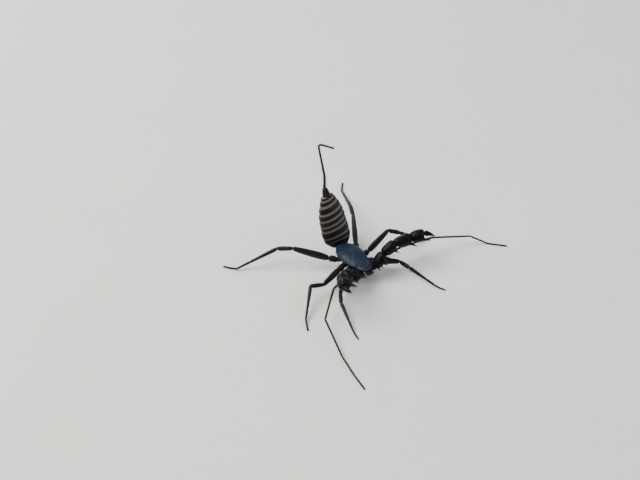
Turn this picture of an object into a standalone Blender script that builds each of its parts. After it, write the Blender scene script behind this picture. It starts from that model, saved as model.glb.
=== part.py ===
"""Whip scorpion (vinegaroon), life size, as a still museum model.

The animal stands with its abdomen raised and both pincer arms spread to the sides.
It faces -Y and its left side is +X.  Shapes are worked out in millimetres in the
animal's own frame, whose origin lies on the floor under the middle of the carapace.
Every part hangs from one empty, which centres the model over its own footprint.
"""
import math

import bmesh
import bpy
from mathutils import Vector

MM = 0.001
GAP = 0.12                  # clear width of the thin cuts between neighbouring parts
BEND_REACH = 0.4            # share of a limb's segment over which a joint's slanted cut straightens out
AXIS_STEP = 0.1             # stride with which the curved axes of the abdomen and whip are followed
UP = Vector((0.0, 0.0, 1.0))
FORWARD = Vector((0.0, -1.0, 0.0))
SIDES = {"L": 1, "R": -1}   # sign of X on each side of the body

# ---- Prosoma: the shield, what is under it and the eyes ----
# Tables give (distance from the front as a share of the length, value in mm).
SHIELD_FRONT_Y = -6.7
SHIELD_LENGTH = 13.6
SHIELD_HALF_WIDTH = ((0.0, 0.7), (0.025, 1.35), (0.1, 2.0), (0.22, 2.55), (0.35, 3.1),
                     (0.5, 3.6), (0.66, 3.8), (0.8, 3.5), (0.92, 2.8), (1.0, 1.95))
SHIELD_RIDGE_Z = ((0.0, 5.75), (0.08, 6.1), (0.25, 6.35), (0.45, 6.7), (0.65, 6.85),
                  (0.85, 6.4), (1.0, 5.75))
SHIELD_RIM_Z = ((0.0, 5.45), (0.2, 5.35), (0.45, 5.05), (0.7, 4.95), (1.0, 5.05))
SHIELD_RIM_THICKNESS = 0.25
SHIELD_RIM_TUCK = 0.92      # the lower edge of the rim against its upper edge
SHIELD_STATIONS = (0.0, 0.025, 0.07, 0.14, 0.22, 0.32, 0.43, 0.55, 0.67, 0.78, 0.88, 0.95, 1.0)
SHIELD_ARCH_POINTS = 11
SHIELD_FULLNESS = 0.8       # below 1 gives the arch a flatter back and steeper flanks

UNDERSIDE_FROM, UNDERSIDE_TO = 0.3, 0.985
UNDERSIDE_STATIONS = 6
UNDERSIDE_WIDTH_SHARE = 0.72
UNDERSIDE_BELLY_Z = 2.7
UNDERSIDE_END_RISE = 0.25   # how much higher the belly is at both ends than in the middle
UNDERSIDE_CURVE = ((1.0, 0.8), (0.7, 0.2), (0.25, 0.0))     # share of the half width, height above the belly
COXA_STARTS = {1: (0.8, -1.1, 3.45), 2: (0.6, 0.1, 3.35), 3: (0.6, 1.7, 3.35), 4: (0.7, 3.3, 3.4)}
COXA_PROFILE = ((0.0, 0.6, 0.5), (0.45, 0.9, 0.76), (0.85, 0.9, 0.8), (1.0, 0.7, 0.7))

MEDIAN_EYE_AT = (0.42, 0.085)           # distance from the midline in mm, share of the shield's length
MEDIAN_EYE_RADIUS = 0.28
MEDIAN_EYE_SINK = 0.1                   # depth of the eye's middle below the shield
LATERAL_MOUND_AT = (2.15, 0.255)
LATERAL_MOUND_RADII = (0.44, 0.6, 0.34)
LATERAL_MOUND_SINK = 0.1
LATERAL_EYES_AT = ((0.1, -0.26), (0.13, 0.2), (-0.17, 0.02))    # outward and backward from the mound's middle
LATERAL_EYE_RADIUS = 0.18
SOCKET_CLEARANCE = 0.06

CHELICERA_PATH = ((0.5, -4.6, 4.62), (0.5, -7.5, 4.6))
CHELICERA_PROFILE = ((0.0, 0.34, 0.42), (0.35, 0.4, 0.5), (0.8, 0.42, 0.52), (1.0, 0.28, 0.34))
FANG_AT = (0.88, 0.2)       # share of the chelicera's length, depth below its axis
FANG_LENGTH = 0.95
FANG_RADIUS = 0.2
FANG_PITCH = -55
FANG_BEND = (0.0, 0.25, -0.05)

# ---- Pincer arms (pedipalps) ----
# Directions are (yaw, pitch) in degrees: yaw 0 points forward, 90 straight out to the part's own side.
PALP_HIP = (3.0, -5.8, 4.7)
PALP_COXA_START = (1.2, -4.05, 3.75)
PALP_NAMES = ("coxa", "trochanter", "femur", "patella", "hand", "finger")
PALP_LENGTHS = (4.5, 4.6, 5.2, 4.4, 3.2)   # from the trochanter on
PALP_POSE = {"L": ((96, 42), (86, 26), (76, 5), (67, 10), (48, -1)),
             "R": ((84, 36), (68, 35), (46, 30), (28, 18), (13, 7))}
# Rows are (share of the segment's length, half width, half height, shift towards the spined side).
PALP_PROFILES = {
    "coxa": ((0.0, 0.75, 0.55, 0.0), (0.35, 1.05, 0.78, 0.0), (0.7, 1.15, 0.85, 0.0), (1.0, 0.95, 0.88, 0.0)),
    "trochanter": ((0.0, 0.98, 1.0, 0.0), (0.2, 1.5, 1.4, 0.1), (0.5, 1.9, 1.6, 0.25),
                   (0.8, 1.8, 1.58, 0.2), (1.0, 1.15, 1.2, 0.0)),
    "femur": ((0.0, 1.1, 1.15, 0.0), (0.2, 1.55, 1.55, 0.0), (0.55, 1.8, 1.75, 0.05),
              (0.85, 1.62, 1.62, 0.0), (1.0, 1.1, 1.15, 0.0)),
    "patella": ((0.0, 1.08, 1.12, 0.0), (0.2, 1.5, 1.5, 0.0), (0.6, 1.8, 1.7, 0.05),
                (0.88, 1.8, 1.68, 0.1), (1.0, 1.25, 1.25, 0.05)),
    "hand": ((0.0, 1.2, 1.2, 0.05), (0.18, 1.7, 1.55, 0.05), (0.5, 1.95, 1.75, 0.1),
             (0.82, 1.75, 1.5, 0.1), (1.0, 0.88, 0.88, -0.15)),
    "finger": ((0.0, 0.74, 0.78, -0.15), (0.2, 0.82, 0.78, -0.12), (0.5, 0.62, 0.6, 0.0),
               (0.8, 0.36, 0.35, 0.22)),
}
PALP_RING_POINTS = 10
# Spines are (share along the segment, height as a share of the half height, length, base radius,
# lean towards the hand).
PALP_SPINES = {
    "coxa": (),
    "trochanter": ((0.06, 0.2, 1.9, 0.36, -0.35), (0.27, 0.35, 2.3, 0.39, -0.15),
                   (0.48, 0.4, 2.5, 0.4, 0.0), (0.69, 0.35, 2.3, 0.39, 0.15),
                   (0.9, 0.25, 1.8, 0.35, 0.3), (0.5, -0.7, 1.4, 0.34, 0.0)),
    "femur": ((0.24, 0.3, 1.5, 0.33, 0.0), (0.5, 0.4, 1.9, 0.37, 0.1), (0.7, -0.5, 1.8, 0.37, 0.2)),
    "patella": ((0.74, 0.0, 3.1, 0.6, 0.5), (0.4, 0.1, 0.8, 0.27, 0.2)),
    "hand": ((0.72, 0.0, 2.5, 0.58, 0.95), (0.42, 0.0, 0.85, 0.29, 0.3)),
    "finger": (),
}

SPINE_SINK = 0.9            # place of a spine's root between the segment's axis and its side
SPINE_SWEEP = 0.12          # curve of a spine towards the hand, as a share of its length
SPINE_RISE = 0.6            # how far a spine that starts high or low also points up or down
# Rings of a spine: place along it, size against its base radius, share of its sideways bend.
SPINE_RINGS = ((-0.25, 1.05, 0.0), (0.45, 0.68, 0.3))
FINGER_HOOK = 0.55          # how far the finger's tip curves towards the fixed finger
COXA_POINT_LENGTH = 2.3     # the point that juts forward beside the mouth
COXA_POINT_RADIUS = 0.42
COXA_POINT_AT = 0.55        # share of the coxa's length
COXA_POINT_SHIFT = (0.75, 0.2, 0.2)

# ---- Legs ----
WALKING_LEGS = (2, 3, 4)
LEG_HIPS = {1: (3.1, -3.55, 4.0), 2: (3.6, -1.6, 3.6), 3: (3.75, 1.0, 3.6), 4: (3.7, 4.0, 3.8)}
# Lengths of trochanter, femur, patella, tibia, basitarsus and tarsus.
LEG_LENGTHS = {2: (2.0, 7.7, 3.7, 6.3, 2.9, 3.4),
               3: (2.2, 8.6, 3.9, 7.2, 3.3, 3.7),
               4: (2.6, 11.2, 4.8, 9.2, 4.6, 4.4)}
# Femur yaw, femur lift, patella yaw, patella lift, shank yaw and tarsus yaw, in degrees.
LEG_POSE = {"R4": (133, 15, 131, -5, 115, 147), "L4": (146, 8, 153, -1, 154, 138),
            "R3": (70, 6, 115, 2, 45, 27), "L3": (88, 32, 58, -18, 82, 78),
            "R2": (53, -1, 34, -4, 16, 10), "L2": (53, -4, 12, -3, 17, 26)}
LEG_NAMES = ("femur", "tibia", "tarsus")    # the trochanter goes with the femur, the patella with the tibia
LEG_SPANS = ((0, 2), (2, 4), (4, 7))        # first and last joint of each of these
LEG_RING_POINTS = 8
LEG_BULK = {2: 0.92, 3: 0.95, 4: 1.0}
ANKLE_Z = 0.75
SOLE_START = 0.55           # share of the tarsus that slopes down; the rest lies flat
# Rows are (share of the segment's length, half width, half height).
LEG_PROFILES = (
    ((0.0, 0.62, 0.64), (0.25, 0.9, 0.98), (0.75, 0.9, 1.0), (1.0, 0.6, 0.74)),
    ((0.08, 0.76, 1.05), (0.3, 0.88, 1.28), (0.65, 0.78, 1.12), (0.93, 0.64, 0.82), (1.0, 0.48, 0.56)),
    ((0.0, 0.47, 0.52), (0.2, 0.63, 0.7), (0.8, 0.66, 0.74), (1.0, 0.5, 0.54)),
    ((0.12, 0.58, 0.64), (0.6, 0.48, 0.52), (1.0, 0.37, 0.39)),
    ((0.0, 0.34, 0.36), (0.15, 0.38, 0.4), (0.9, 0.32, 0.33), (1.0, 0.28, 0.29)),
    ((0.2, 0.3, 0.3), (1.0, 0.29, 0.29)),
    ((0.5, 0.29, 0.29), (1.0, 0.26, 0.27)),
)
CLAW_LENGTH = 0.75
CLAW_RADIUS = 0.15
CLAW_SPREAD = 28
CLAW_PITCH = 14
CLAW_DROOP = 0.28
CLAW_POINTS = 5

# ---- Feeler legs (the first pair) ----
# Lengths of trochanter, femur, patella, tibia, first and last stretch of the tarsus.
FEELER_LENGTHS = (1.8, 9.2, 10.5, 13.0, 6.5, 6.0)
FEELER_POSE = {"L": ((80, 26), (81, 8), (80, -3), (67, -10), (52, None), (42, 0)),
               "R": ((88, 28), (70, 6), (51, -12), (15, -12), (9, None), (8, 0))}
FEELER_NAMES = ("femur", "patella", "tibia", "tarsus")
FEELER_SPANS = ((0, 2), (2, 3), (3, 4), (4, 6))
FEELER_PROFILES = (
    ((0.0, 0.42, 0.44), (0.3, 0.52, 0.55), (0.8, 0.46, 0.5), (1.0, 0.36, 0.38)),
    ((0.06, 0.42, 0.44), (0.4, 0.4, 0.42), (0.95, 0.33, 0.34), (1.0, 0.29, 0.3)),
    ((0.0, 0.29, 0.3), (0.06, 0.34, 0.35), (0.5, 0.31, 0.31), (1.0, 0.29, 0.29)),
    ((0.0, 0.28, 0.28), (0.05, 0.31, 0.31), (0.5, 0.29, 0.29), (1.0, 0.27, 0.27)),
    ((0.0, 0.27, 0.27), (0.5, 0.27, 0.27), (1.0, 0.26, 0.26)),
    ((0.5, 0.26, 0.26), (1.0, 0.25, 0.26)),
)

# ---- Abdomen, tail end and whip ----
ABDOMEN_ROOT = (0.45, 7.3, 4.55)
ABDOMEN_YAW = ((0.0, 168.0), (4.5, 183.0), (9.0, 190.5), (20.0, 192.5))     # it leans a little to the right
ABDOMEN_PITCH = ((0.0, 14.0), (2.0, 44.0), (4.8, 66.0), (8.0, 72.0), (20.0, 74.0))   # mm along the axis, degrees
ABDOMEN_SEGMENT_LENGTHS = (2.05, 2.15, 2.85, 1.7, 2.0, 2.0, 2.35, 1.6, 1.0)
ABDOMEN_HALF_WIDTH = ((0.0, 1.6), (0.9, 2.9), (2.2, 4.15), (4.2, 4.75), (7.5, 4.85), (11.0, 4.65),
                      (13.8, 3.9), (16.2, 2.85), (17.7, 2.0))
ABDOMEN_DEPTH_SHARE = 0.55
ABDOMEN_CUT_SHRINK = 0.965  # size of a segment's rims against its middle
ABDOMEN_SHOULDERS = (0.3, 0.8)      # shares of a segment's length between which it has its full size
ABDOMEN_RING_POINTS = 18
PYGIDIUM_LENGTH = 2.4
PYGIDIUM_PROFILE = ((0.0, 1.15), (0.3, 1.12), (0.36, 1.04), (0.62, 1.04), (0.68, 0.95), (1.0, 0.86))
PYGIDIUM_RING_POINTS = 12

WHIP_LENGTH = 19.6
WHIP_RADIUS = ((0.0, 0.45), (3.0, 0.38), (WHIP_LENGTH, 0.27))
WHIP_RING_POINTS = 8
WHIP_PITCH = ((0.0, 74.0), (0.8, 89.0), (3.8, 89.0), (5.3, 74.0), (WHIP_LENGTH, 74.0))
WHIP_CURL_START = 13.7      # mm along the whip where its tip starts to curl over
WHIP_CURL_LENGTH = 2.2
WHIP_CURL_YAW = 53.0
WHIP_CURL_PITCH = -20.0
WHIP_CUTS = (0.0, 6.5, 13.0, WHIP_LENGTH)
WHIP_PIECES = (("base", 5), ("middle", 5), ("tip", 10))     # name and number of rings of each length

# Angles in degrees above which an edge between two faces stays sharp.
SHELL_EDGE, LIMB_EDGE, SOFT_EDGE = 35, 40, 60

# Colour (linear), roughness and metallic value of each kind of part.
FINISHES = {
    "shield": ((0.020, 0.030, 0.052), 0.42, 0.0),
    "underside": ((0.060, 0.030, 0.022), 0.5, 0.0),
    "eye": ((0.010, 0.009, 0.009), 0.12, 0.0),
    "fang": ((0.045, 0.018, 0.012), 0.4, 0.0),
    "palp": ((0.014, 0.014, 0.018), 0.38, 0.0),
    "leg": ((0.030, 0.018, 0.020), 0.42, 0.0),
    "feeler": ((0.032, 0.022, 0.022), 0.5, 0.0),
    "abdomen": ((0.022, 0.019, 0.019), 0.5, 0.0),
    "whip": ((0.026, 0.015, 0.013), 0.55, 0.0),
}


def curve_value(table, at):
    """Value at one place of a smooth curve through a table of (place, value) pairs."""
    last = len(table) - 1
    at = min(max(at, table[0][0]), table[last][0])
    span_index = next(k for k in range(last) if at <= table[k + 1][0])

    def slope(k):
        before = table[max(k - 1, 0)]
        after = table[min(k + 1, last)]
        return (after[1] - before[1]) / (after[0] - before[0])

    start, end = table[span_index], table[span_index + 1]
    span = end[0] - start[0]
    t = (at - start[0]) / span
    value = (1 + 2 * t) * (1 - t) ** 2 * start[1] + t * t * (3 - 2 * t) * end[1]
    return value + span * t * (1 - t) * ((1 - t) * slope(span_index) - t * slope(span_index + 1))


def heading(yaw, pitch, side=1):
    """Unit vector: yaw 0 is forward and 90 straight out to the side, pitch is the lift above level."""
    yaw, pitch = math.radians(yaw), math.radians(pitch)
    return Vector((side * math.sin(yaw) * math.cos(pitch), -math.cos(yaw) * math.cos(pitch), math.sin(pitch)))


def mirrored(point, side):
    return Vector((side * point[0], point[1], point[2]))


def loft(rings):
    """Closed mesh through rings of equal point counts; a ring of one point is a sharp tip."""
    mesh = bmesh.new()
    rows = [[mesh.verts.new(point * MM) for point in ring] for ring in rings]
    for low, high in zip(rows, rows[1:]):
        count = max(len(low), len(high))
        for k in range(count):
            n = (k + 1) % count
            corners = (low[k % len(low)], low[n % len(low)], high[n % len(high)], high[k % len(high)])
            mesh.faces.new(list(dict.fromkeys(corners)))
    for row in (rows[0], rows[-1]):
        if len(row) > 1:
            mesh.faces.new(row)
    bmesh.ops.recalc_face_normals(mesh, faces=mesh.faces)
    return mesh


def finish_material(name, finish):
    colour, roughness, metallic = FINISHES[finish]
    material = bpy.data.materials.new(name)
    material.use_nodes = True
    shader = material.node_tree.nodes["Principled BSDF"]
    shader.inputs["Base Color"].default_value = (*colour, 1.0)
    shader.inputs["Roughness"].default_value = roughness
    shader.inputs["Metallic"].default_value = metallic
    return material


def add_part(name, mesh, finish, body):
    """Named object with its own material, hung from the body's empty."""
    data = bpy.data.meshes.new(name)
    mesh.to_mesh(data)
    mesh.free()
    part = bpy.data.objects.new(name, data)
    bpy.context.scene.collection.objects.link(part)
    part.parent = body
    data.materials.append(finish_material(name, finish))
    return part


def add_tool(mesh):
    """Helper solid for a Boolean, in the animal's own frame."""
    data = bpy.data.meshes.new("tool")
    mesh.to_mesh(data)
    mesh.free()
    tool = bpy.data.objects.new("tool", data)
    bpy.context.scene.collection.objects.link(tool)
    return tool


def combine(part, operation, meshes):
    """Join the meshes to a part, or cut them out of it, as one closed body."""
    tools = [add_tool(mesh) for mesh in meshes]
    for tool in tools:
        modifier = part.modifiers.new(operation.lower(), "BOOLEAN")
        modifier.operation = operation
        modifier.solver = "EXACT"
        modifier.object = tool
    graph = bpy.context.evaluated_depsgraph_get()
    joined = bpy.data.meshes.new_from_object(part.evaluated_get(graph))
    part.modifiers.clear()
    old = part.data
    part.data = joined
    joined.name = part.name
    bpy.data.meshes.remove(old)
    for tool in tools:
        bpy.data.objects.remove(tool)


def shade(part, angle=LIMB_EDGE):
    part.data.shade_smooth()
    part.data.set_sharp_from_angle(angle=math.radians(angle))


def section(centre, along, half_width, half_height, cut, points):
    """Oval ring across a limb, its points slid along the limb onto the plane square to 'cut'."""
    across = along.cross(UP).normalized()
    above = across.cross(along).normalized()
    ring = []
    for k in range(points):
        angle = 2 * math.pi * (k + 0.5) / points
        offset = across * half_width * math.cos(angle) + above * half_height * math.sin(angle)
        ring.append(centre + offset - along * (offset.dot(cut) / along.dot(cut)))
    return ring


def cut_normal(points, k):
    """Normal of the plane that halves the bend at one point of a path."""
    if k == 0:
        return (points[1] - points[0]).normalized()
    if k == len(points) - 1:
        return (points[k] - points[k - 1]).normalized()
    return ((points[k] - points[k - 1]).normalized() + (points[k + 1] - points[k]).normalized()).normalized()


def limb_rings(points, profiles, first, last, side=1, ring_points=LEG_RING_POINTS, bulk=1.0, start_cut=None):
    """Rings of the stretch of a limb between two of its joints, drawn back by half a gap at each end."""
    rings = []
    for k in range(first, last):
        start, end = points[k], points[k + 1]
        along = (end - start).normalized()
        length = (end - start).length
        entry = start_cut if start_cut and k == first else cut_normal(points, k)
        leave = cut_normal(points, k + 1)
        for row in profiles[k]:
            share, half_width, half_height = row[:3]
            inward = row[3] if len(row) > 3 else 0.0
            cut = along.lerp(entry, max(0.0, 1 - share / BEND_REACH))
            cut = cut.lerp(leave, max(0.0, 1 - (1 - share) / BEND_REACH)).normalized()
            place = share * length
            if k == first:
                place = max(place, GAP / 2)
            if k == last - 1:
                place = min(place, length - GAP / 2)
            centre = start + along * place + along.cross(UP).normalized() * side * inward
            rings.append(section(centre, along, half_width * bulk, half_height * bulk, cut, ring_points))
    return rings


def spine_mesh(base, along, length, radius, bend=None, points=6):
    """Curved cone whose root is sunk into the part that it grows from."""
    bend = bend or Vector()
    across = along.cross(UP if abs(along.z) < 0.9 else FORWARD).normalized()
    above = across.cross(along).normalized()
    rings = []
    for place, size, sway in SPINE_RINGS:
        centre = base + along * length * place + bend * sway
        ring = []
        for k in range(points):
            angle = 2 * math.pi * k / points
            ring.append(centre + (across * math.cos(angle) + above * math.sin(angle)) * radius * size)
        rings.append(ring)
    rings.append([base + along * length + bend])
    return loft(rings)


def ball_mesh(centre, radii, columns=8, rows=5):
    rings = [[centre - UP * radii[2]]]
    for k in range(1, rows):
        tilt = math.pi * k / rows
        ring = []
        for j in range(columns):
            turn = 2 * math.pi * (j + 0.3) / columns
            ring.append(centre + Vector((math.sin(tilt) * math.cos(turn) * radii[0],
                                         math.sin(tilt) * math.sin(turn) * radii[1], -math.cos(tilt) * radii[2])))
        rings.append(ring)
    rings.append([centre + UP * radii[2]])
    return loft(rings)


# ---- Prosoma ----

def shield_point(x, share):
    """Point on the top of the shield above a given distance from the midline."""
    half_width = curve_value(SHIELD_HALF_WIDTH, share)
    rim = curve_value(SHIELD_RIM_Z, share)
    ridge = curve_value(SHIELD_RIDGE_Z, share)
    rise = math.sqrt(max(0.0, 1 - (x / half_width) ** 2)) ** SHIELD_FULLNESS
    return Vector((x, SHIELD_FRONT_Y + share * SHIELD_LENGTH, rim + (ridge - rim) * rise))


def add_shield(body):
    rings = []
    for share in SHIELD_STATIONS:
        half_width = curve_value(SHIELD_HALF_WIDTH, share)
        arch = []
        for k in range(SHIELD_ARCH_POINTS):
            angle = math.pi * k / (SHIELD_ARCH_POINTS - 1)
            arch.append(shield_point(half_width * math.cos(angle), share))
        under = [Vector((x * half_width * SHIELD_RIM_TUCK, arch[0].y, arch[0].z - SHIELD_RIM_THICKNESS))
                 for x in (-1, 1)]
        rings.append(arch + under)
    shield = add_part("carapace", loft(rings), "shield", body)
    sockets = []
    for side in SIDES.values():
        for centre, radii in (median_eye(side), lateral_mound(side)):
            sockets.append(ball_mesh(centre, [radius + SOCKET_CLEARANCE for radius in radii]))
    combine(shield, "DIFFERENCE", sockets)
    shade(shield, SHELL_EDGE)


def median_eye(side):
    centre = shield_point(*MEDIAN_EYE_AT) - UP * MEDIAN_EYE_SINK
    return mirrored(centre, side), (MEDIAN_EYE_RADIUS,) * 3


def lateral_mound(side):
    """Oval mound on the shield's shoulder, which carries one side's three small eyes."""
    centre = shield_point(*LATERAL_MOUND_AT) - UP * LATERAL_MOUND_SINK
    return mirrored(centre, side), LATERAL_MOUND_RADII


def add_eyes(body):
    for letter, side in SIDES.items():
        shade(add_part(f"eye_median_{letter}", ball_mesh(*median_eye(side)), "eye", body))
        middle, radii = lateral_mound(side)
        cluster = add_part(f"eyes_lateral_{letter}", ball_mesh(middle, radii), "eye", body)
        eyes = []
        for outward, backward in LATERAL_EYES_AT:
            rise = math.sqrt(1 - (outward / radii[0]) ** 2 - (backward / radii[1]) ** 2) * radii[2]
            centre = middle + Vector((side * outward, backward, rise - LATERAL_EYE_RADIUS / 2))
            eyes.append(ball_mesh(centre, (LATERAL_EYE_RADIUS,) * 3))
        combine(cluster, "UNION", eyes)
        shade(cluster)


def coxa_ends(number, side):
    """Inner and outer end of one leg's coxa; the leg's trochanter turns on the outer one."""
    return mirrored(COXA_STARTS[number], side), mirrored(LEG_HIPS[number], side)


def coxa_direction(number, side):
    inner, outer = coxa_ends(number, side)
    return (outer - inner).normalized()


def add_underside(body):
    """Sternum and the coxae of all eight legs, which lie fan-wise under the shield."""
    rings = []
    for k in range(UNDERSIDE_STATIONS):
        share = UNDERSIDE_FROM + (UNDERSIDE_TO - UNDERSIDE_FROM) * k / (UNDERSIDE_STATIONS - 1)
        half_width = curve_value(SHIELD_HALF_WIDTH, share) * UNDERSIDE_WIDTH_SHARE
        top = curve_value(SHIELD_RIM_Z, share) - SHIELD_RIM_THICKNESS - GAP
        belly = UNDERSIDE_BELLY_Z + UNDERSIDE_END_RISE * (2 * k / (UNDERSIDE_STATIONS - 1) - 1) ** 2
        y = SHIELD_FRONT_Y + share * SHIELD_LENGTH
        left_half = [Vector((half_width, y, top))]
        left_half += [Vector((x * half_width, y, belly + rise)) for x, rise in UNDERSIDE_CURVE]
        rings.append(left_half + [mirrored(point, -1) for point in reversed(left_half)])
    underside = add_part("sternum_and_coxae", loft(rings), "underside", body)
    coxae = []
    for side in SIDES.values():
        for number in COXA_STARTS:
            coxae.append(loft(limb_rings(coxa_ends(number, side), (COXA_PROFILE,), 0, 1)))
    combine(underside, "UNION", coxae)
    shade(underside, SHELL_EDGE)


def add_chelicerae(body):
    for letter, side in SIDES.items():
        start, end = [mirrored(point, side) for point in CHELICERA_PATH]
        stub = loft(limb_rings((start, end), (CHELICERA_PROFILE,), 0, 1))
        part = add_part(f"chelicera_{letter}", stub, "fang", body)
        share, depth = FANG_AT
        root = start.lerp(end, share) - UP * depth
        fang = spine_mesh(root, heading(0, FANG_PITCH), FANG_LENGTH, FANG_RADIUS, Vector(FANG_BEND))
        combine(part, "UNION", [fang])
        shade(part)


# ---- Pincer arms ----

def palp_joints(letter):
    side = SIDES[letter]
    joints = [mirrored(PALP_COXA_START, side), mirrored(PALP_HIP, side)]
    for length, (yaw, pitch) in zip(PALP_LENGTHS, PALP_POSE[letter]):
        joints.append(joints[-1] + heading(yaw, pitch, side) * length)
    return joints


def palp_spines(name, start, end, side):
    """Spines and teeth along the spined side of one segment of the arm."""
    along = (end - start).normalized()
    spined = along.cross(UP).normalized() * side
    above = (spined.cross(along) * side).normalized()
    spines = []
    for share, height, length, radius, lean in PALP_SPINES[name]:
        half_width, half_height, shift = [curve_value([(row[0], row[k]) for row in PALP_PROFILES[name]], share)
                                          for k in (1, 2, 3)]
        inset = math.sqrt(1 - height ** 2) * half_width + shift
        root = start.lerp(end, share) + spined * inset * SPINE_SINK + above * half_height * height
        point_way = (spined + along * lean + above * height * SPINE_RISE).normalized()
        spines.append(spine_mesh(root, point_way, length, radius, along * SPINE_SWEEP * length))
    return spines


def add_palps(body):
    profiles = [PALP_PROFILES[name] for name in PALP_NAMES]
    for letter, side in SIDES.items():
        joints = palp_joints(letter)
        for k, name in enumerate(PALP_NAMES):
            start, end = joints[k], joints[k + 1]
            rings = limb_rings(joints, profiles, k, k + 1, side, PALP_RING_POINTS)
            if name == "finger":
                rings.append([end + (end - start).cross(UP).normalized() * side * FINGER_HOOK])
            part = add_part(f"palp_{letter}_{name}", loft(rings), "palp", body)
            spines = palp_spines(name, start, end, side)
            if name == "coxa":
                root = start.lerp(end, COXA_POINT_AT) - mirrored(COXA_POINT_SHIFT, side)
                spines.append(spine_mesh(root, FORWARD, COXA_POINT_LENGTH, COXA_POINT_RADIUS))
            if spines:
                combine(part, "UNION", spines)
            shade(part)


# ---- Legs ----

def floor_height(half_height):
    """Height at which a level limb's middle lies when its lower side is flat on the floor."""
    return half_height * math.cos(math.pi / LEG_RING_POINTS)


def step_down(start, length, yaw, level, side):
    """End point of a stretch of given length and yaw that goes down to a given level."""
    pitch = -math.degrees(math.asin((start.z - level) / length))
    return start + heading(yaw, pitch, side) * length


def walking_joints(key, number):
    side = SIDES[key[0]]
    trochanter, femur, patella, tibia, basitarsus, tarsus = LEG_LENGTHS[number]
    femur_yaw, lift, patella_yaw, patella_lift, shank_yaw, tarsus_yaw = LEG_POSE[key]
    joints = [mirrored(LEG_HIPS[number], side)]
    joints.append(joints[-1] + heading(femur_yaw, lift / 2, side) * trochanter)
    joints.append(joints[-1] + heading(femur_yaw, lift, side) * femur)
    joints.append(joints[-1] + heading(patella_yaw, patella_lift, side) * patella)
    ankle = step_down(joints[-1], tibia + basitarsus, shank_yaw, ANKLE_Z, side)
    joints.append(joints[-1].lerp(ankle, tibia / (tibia + basitarsus)))
    joints.append(ankle)
    sole = floor_height(LEG_PROFILES[-1][0][2] * LEG_BULK[number])
    joints.append(step_down(ankle, tarsus * SOLE_START, tarsus_yaw, sole, side))
    joints.append(joints[-1] + heading(tarsus_yaw, 0, side) * tarsus * (1 - SOLE_START))
    return joints


def set_on_floor(rings):
    """Rings of a foot with its last ring brought down to the floor and nothing below the floor."""
    drop = min(point.z for point in rings[-1])
    for point in rings[-1]:
        point.z -= drop
    return [[Vector((point.x, point.y, max(point.z, 0.0))) for point in ring] for ring in rings]


def add_walking_leg(key, number, body):
    side = SIDES[key[0]]
    joints = walking_joints(key, number)
    bulk = LEG_BULK[number]
    for name, (first, last) in zip(LEG_NAMES, LEG_SPANS):
        start_cut = coxa_direction(number, side) if first == 0 else None
        rings = limb_rings(joints, LEG_PROFILES, first, last, side, bulk=bulk, start_cut=start_cut)
        if name == "tarsus":
            rings = set_on_floor(rings)
        part = add_part(f"leg_{key}_{name}", loft(rings), "leg", body)
        if name == "tarsus":
            claws = []
            for turn in (-CLAW_SPREAD, CLAW_SPREAD):
                point_way = heading(LEG_POSE[key][5] + turn, CLAW_PITCH, side)
                claws.append(spine_mesh(joints[-1], point_way, CLAW_LENGTH, CLAW_RADIUS, -UP * CLAW_DROOP,
                                        CLAW_POINTS))
            combine(part, "UNION", claws)
        shade(part)


def feeler_joints(letter):
    side = SIDES[letter]
    level = floor_height(FEELER_PROFILES[-1][0][2])
    joints = [mirrored(LEG_HIPS[1], side)]
    for length, (yaw, pitch) in zip(FEELER_LENGTHS, FEELER_POSE[letter]):
        if pitch is None:
            joints.append(step_down(joints[-1], length, yaw, level, side))
        else:
            joints.append(joints[-1] + heading(yaw, pitch, side) * length)
    return joints


def add_feeler(letter, body):
    side = SIDES[letter]
    joints = feeler_joints(letter)
    for name, (first, last) in zip(FEELER_NAMES, FEELER_SPANS):
        start_cut = coxa_direction(1, side) if first == 0 else None
        rings = limb_rings(joints, FEELER_PROFILES, first, last, side, start_cut=start_cut)
        if name == "tarsus":
            rings = set_on_floor(rings)
        shade(add_part(f"feeler_{letter}_{name}", loft(rings), "feeler", body))


def add_legs(body):
    for number in WALKING_LEGS:
        for letter in SIDES:
            add_walking_leg(f"{letter}{number}", number, body)
    for letter in SIDES:
        add_feeler(letter, body)


# ---- Abdomen and whip ----

def follow(start, length, direction_at):
    """Point at a length along a curved axis whose direction is known at every length."""
    point = Vector(start)
    travelled = 0.0
    while travelled < length - 1e-9:
        stride = min(AXIS_STEP, length - travelled)
        point = point + direction_at(travelled + stride / 2) * stride
        travelled += stride
    return point


def abdomen_direction(length):
    return heading(curve_value(ABDOMEN_YAW, length), curve_value(ABDOMEN_PITCH, length))


def abdomen_ring(length, half_width, half_depth, points, cut_at=None):
    centre = follow(ABDOMEN_ROOT, length, abdomen_direction)
    cut = abdomen_direction(length if cut_at is None else cut_at)
    return section(centre, abdomen_direction(length), half_width, half_depth, cut, points)


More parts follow.
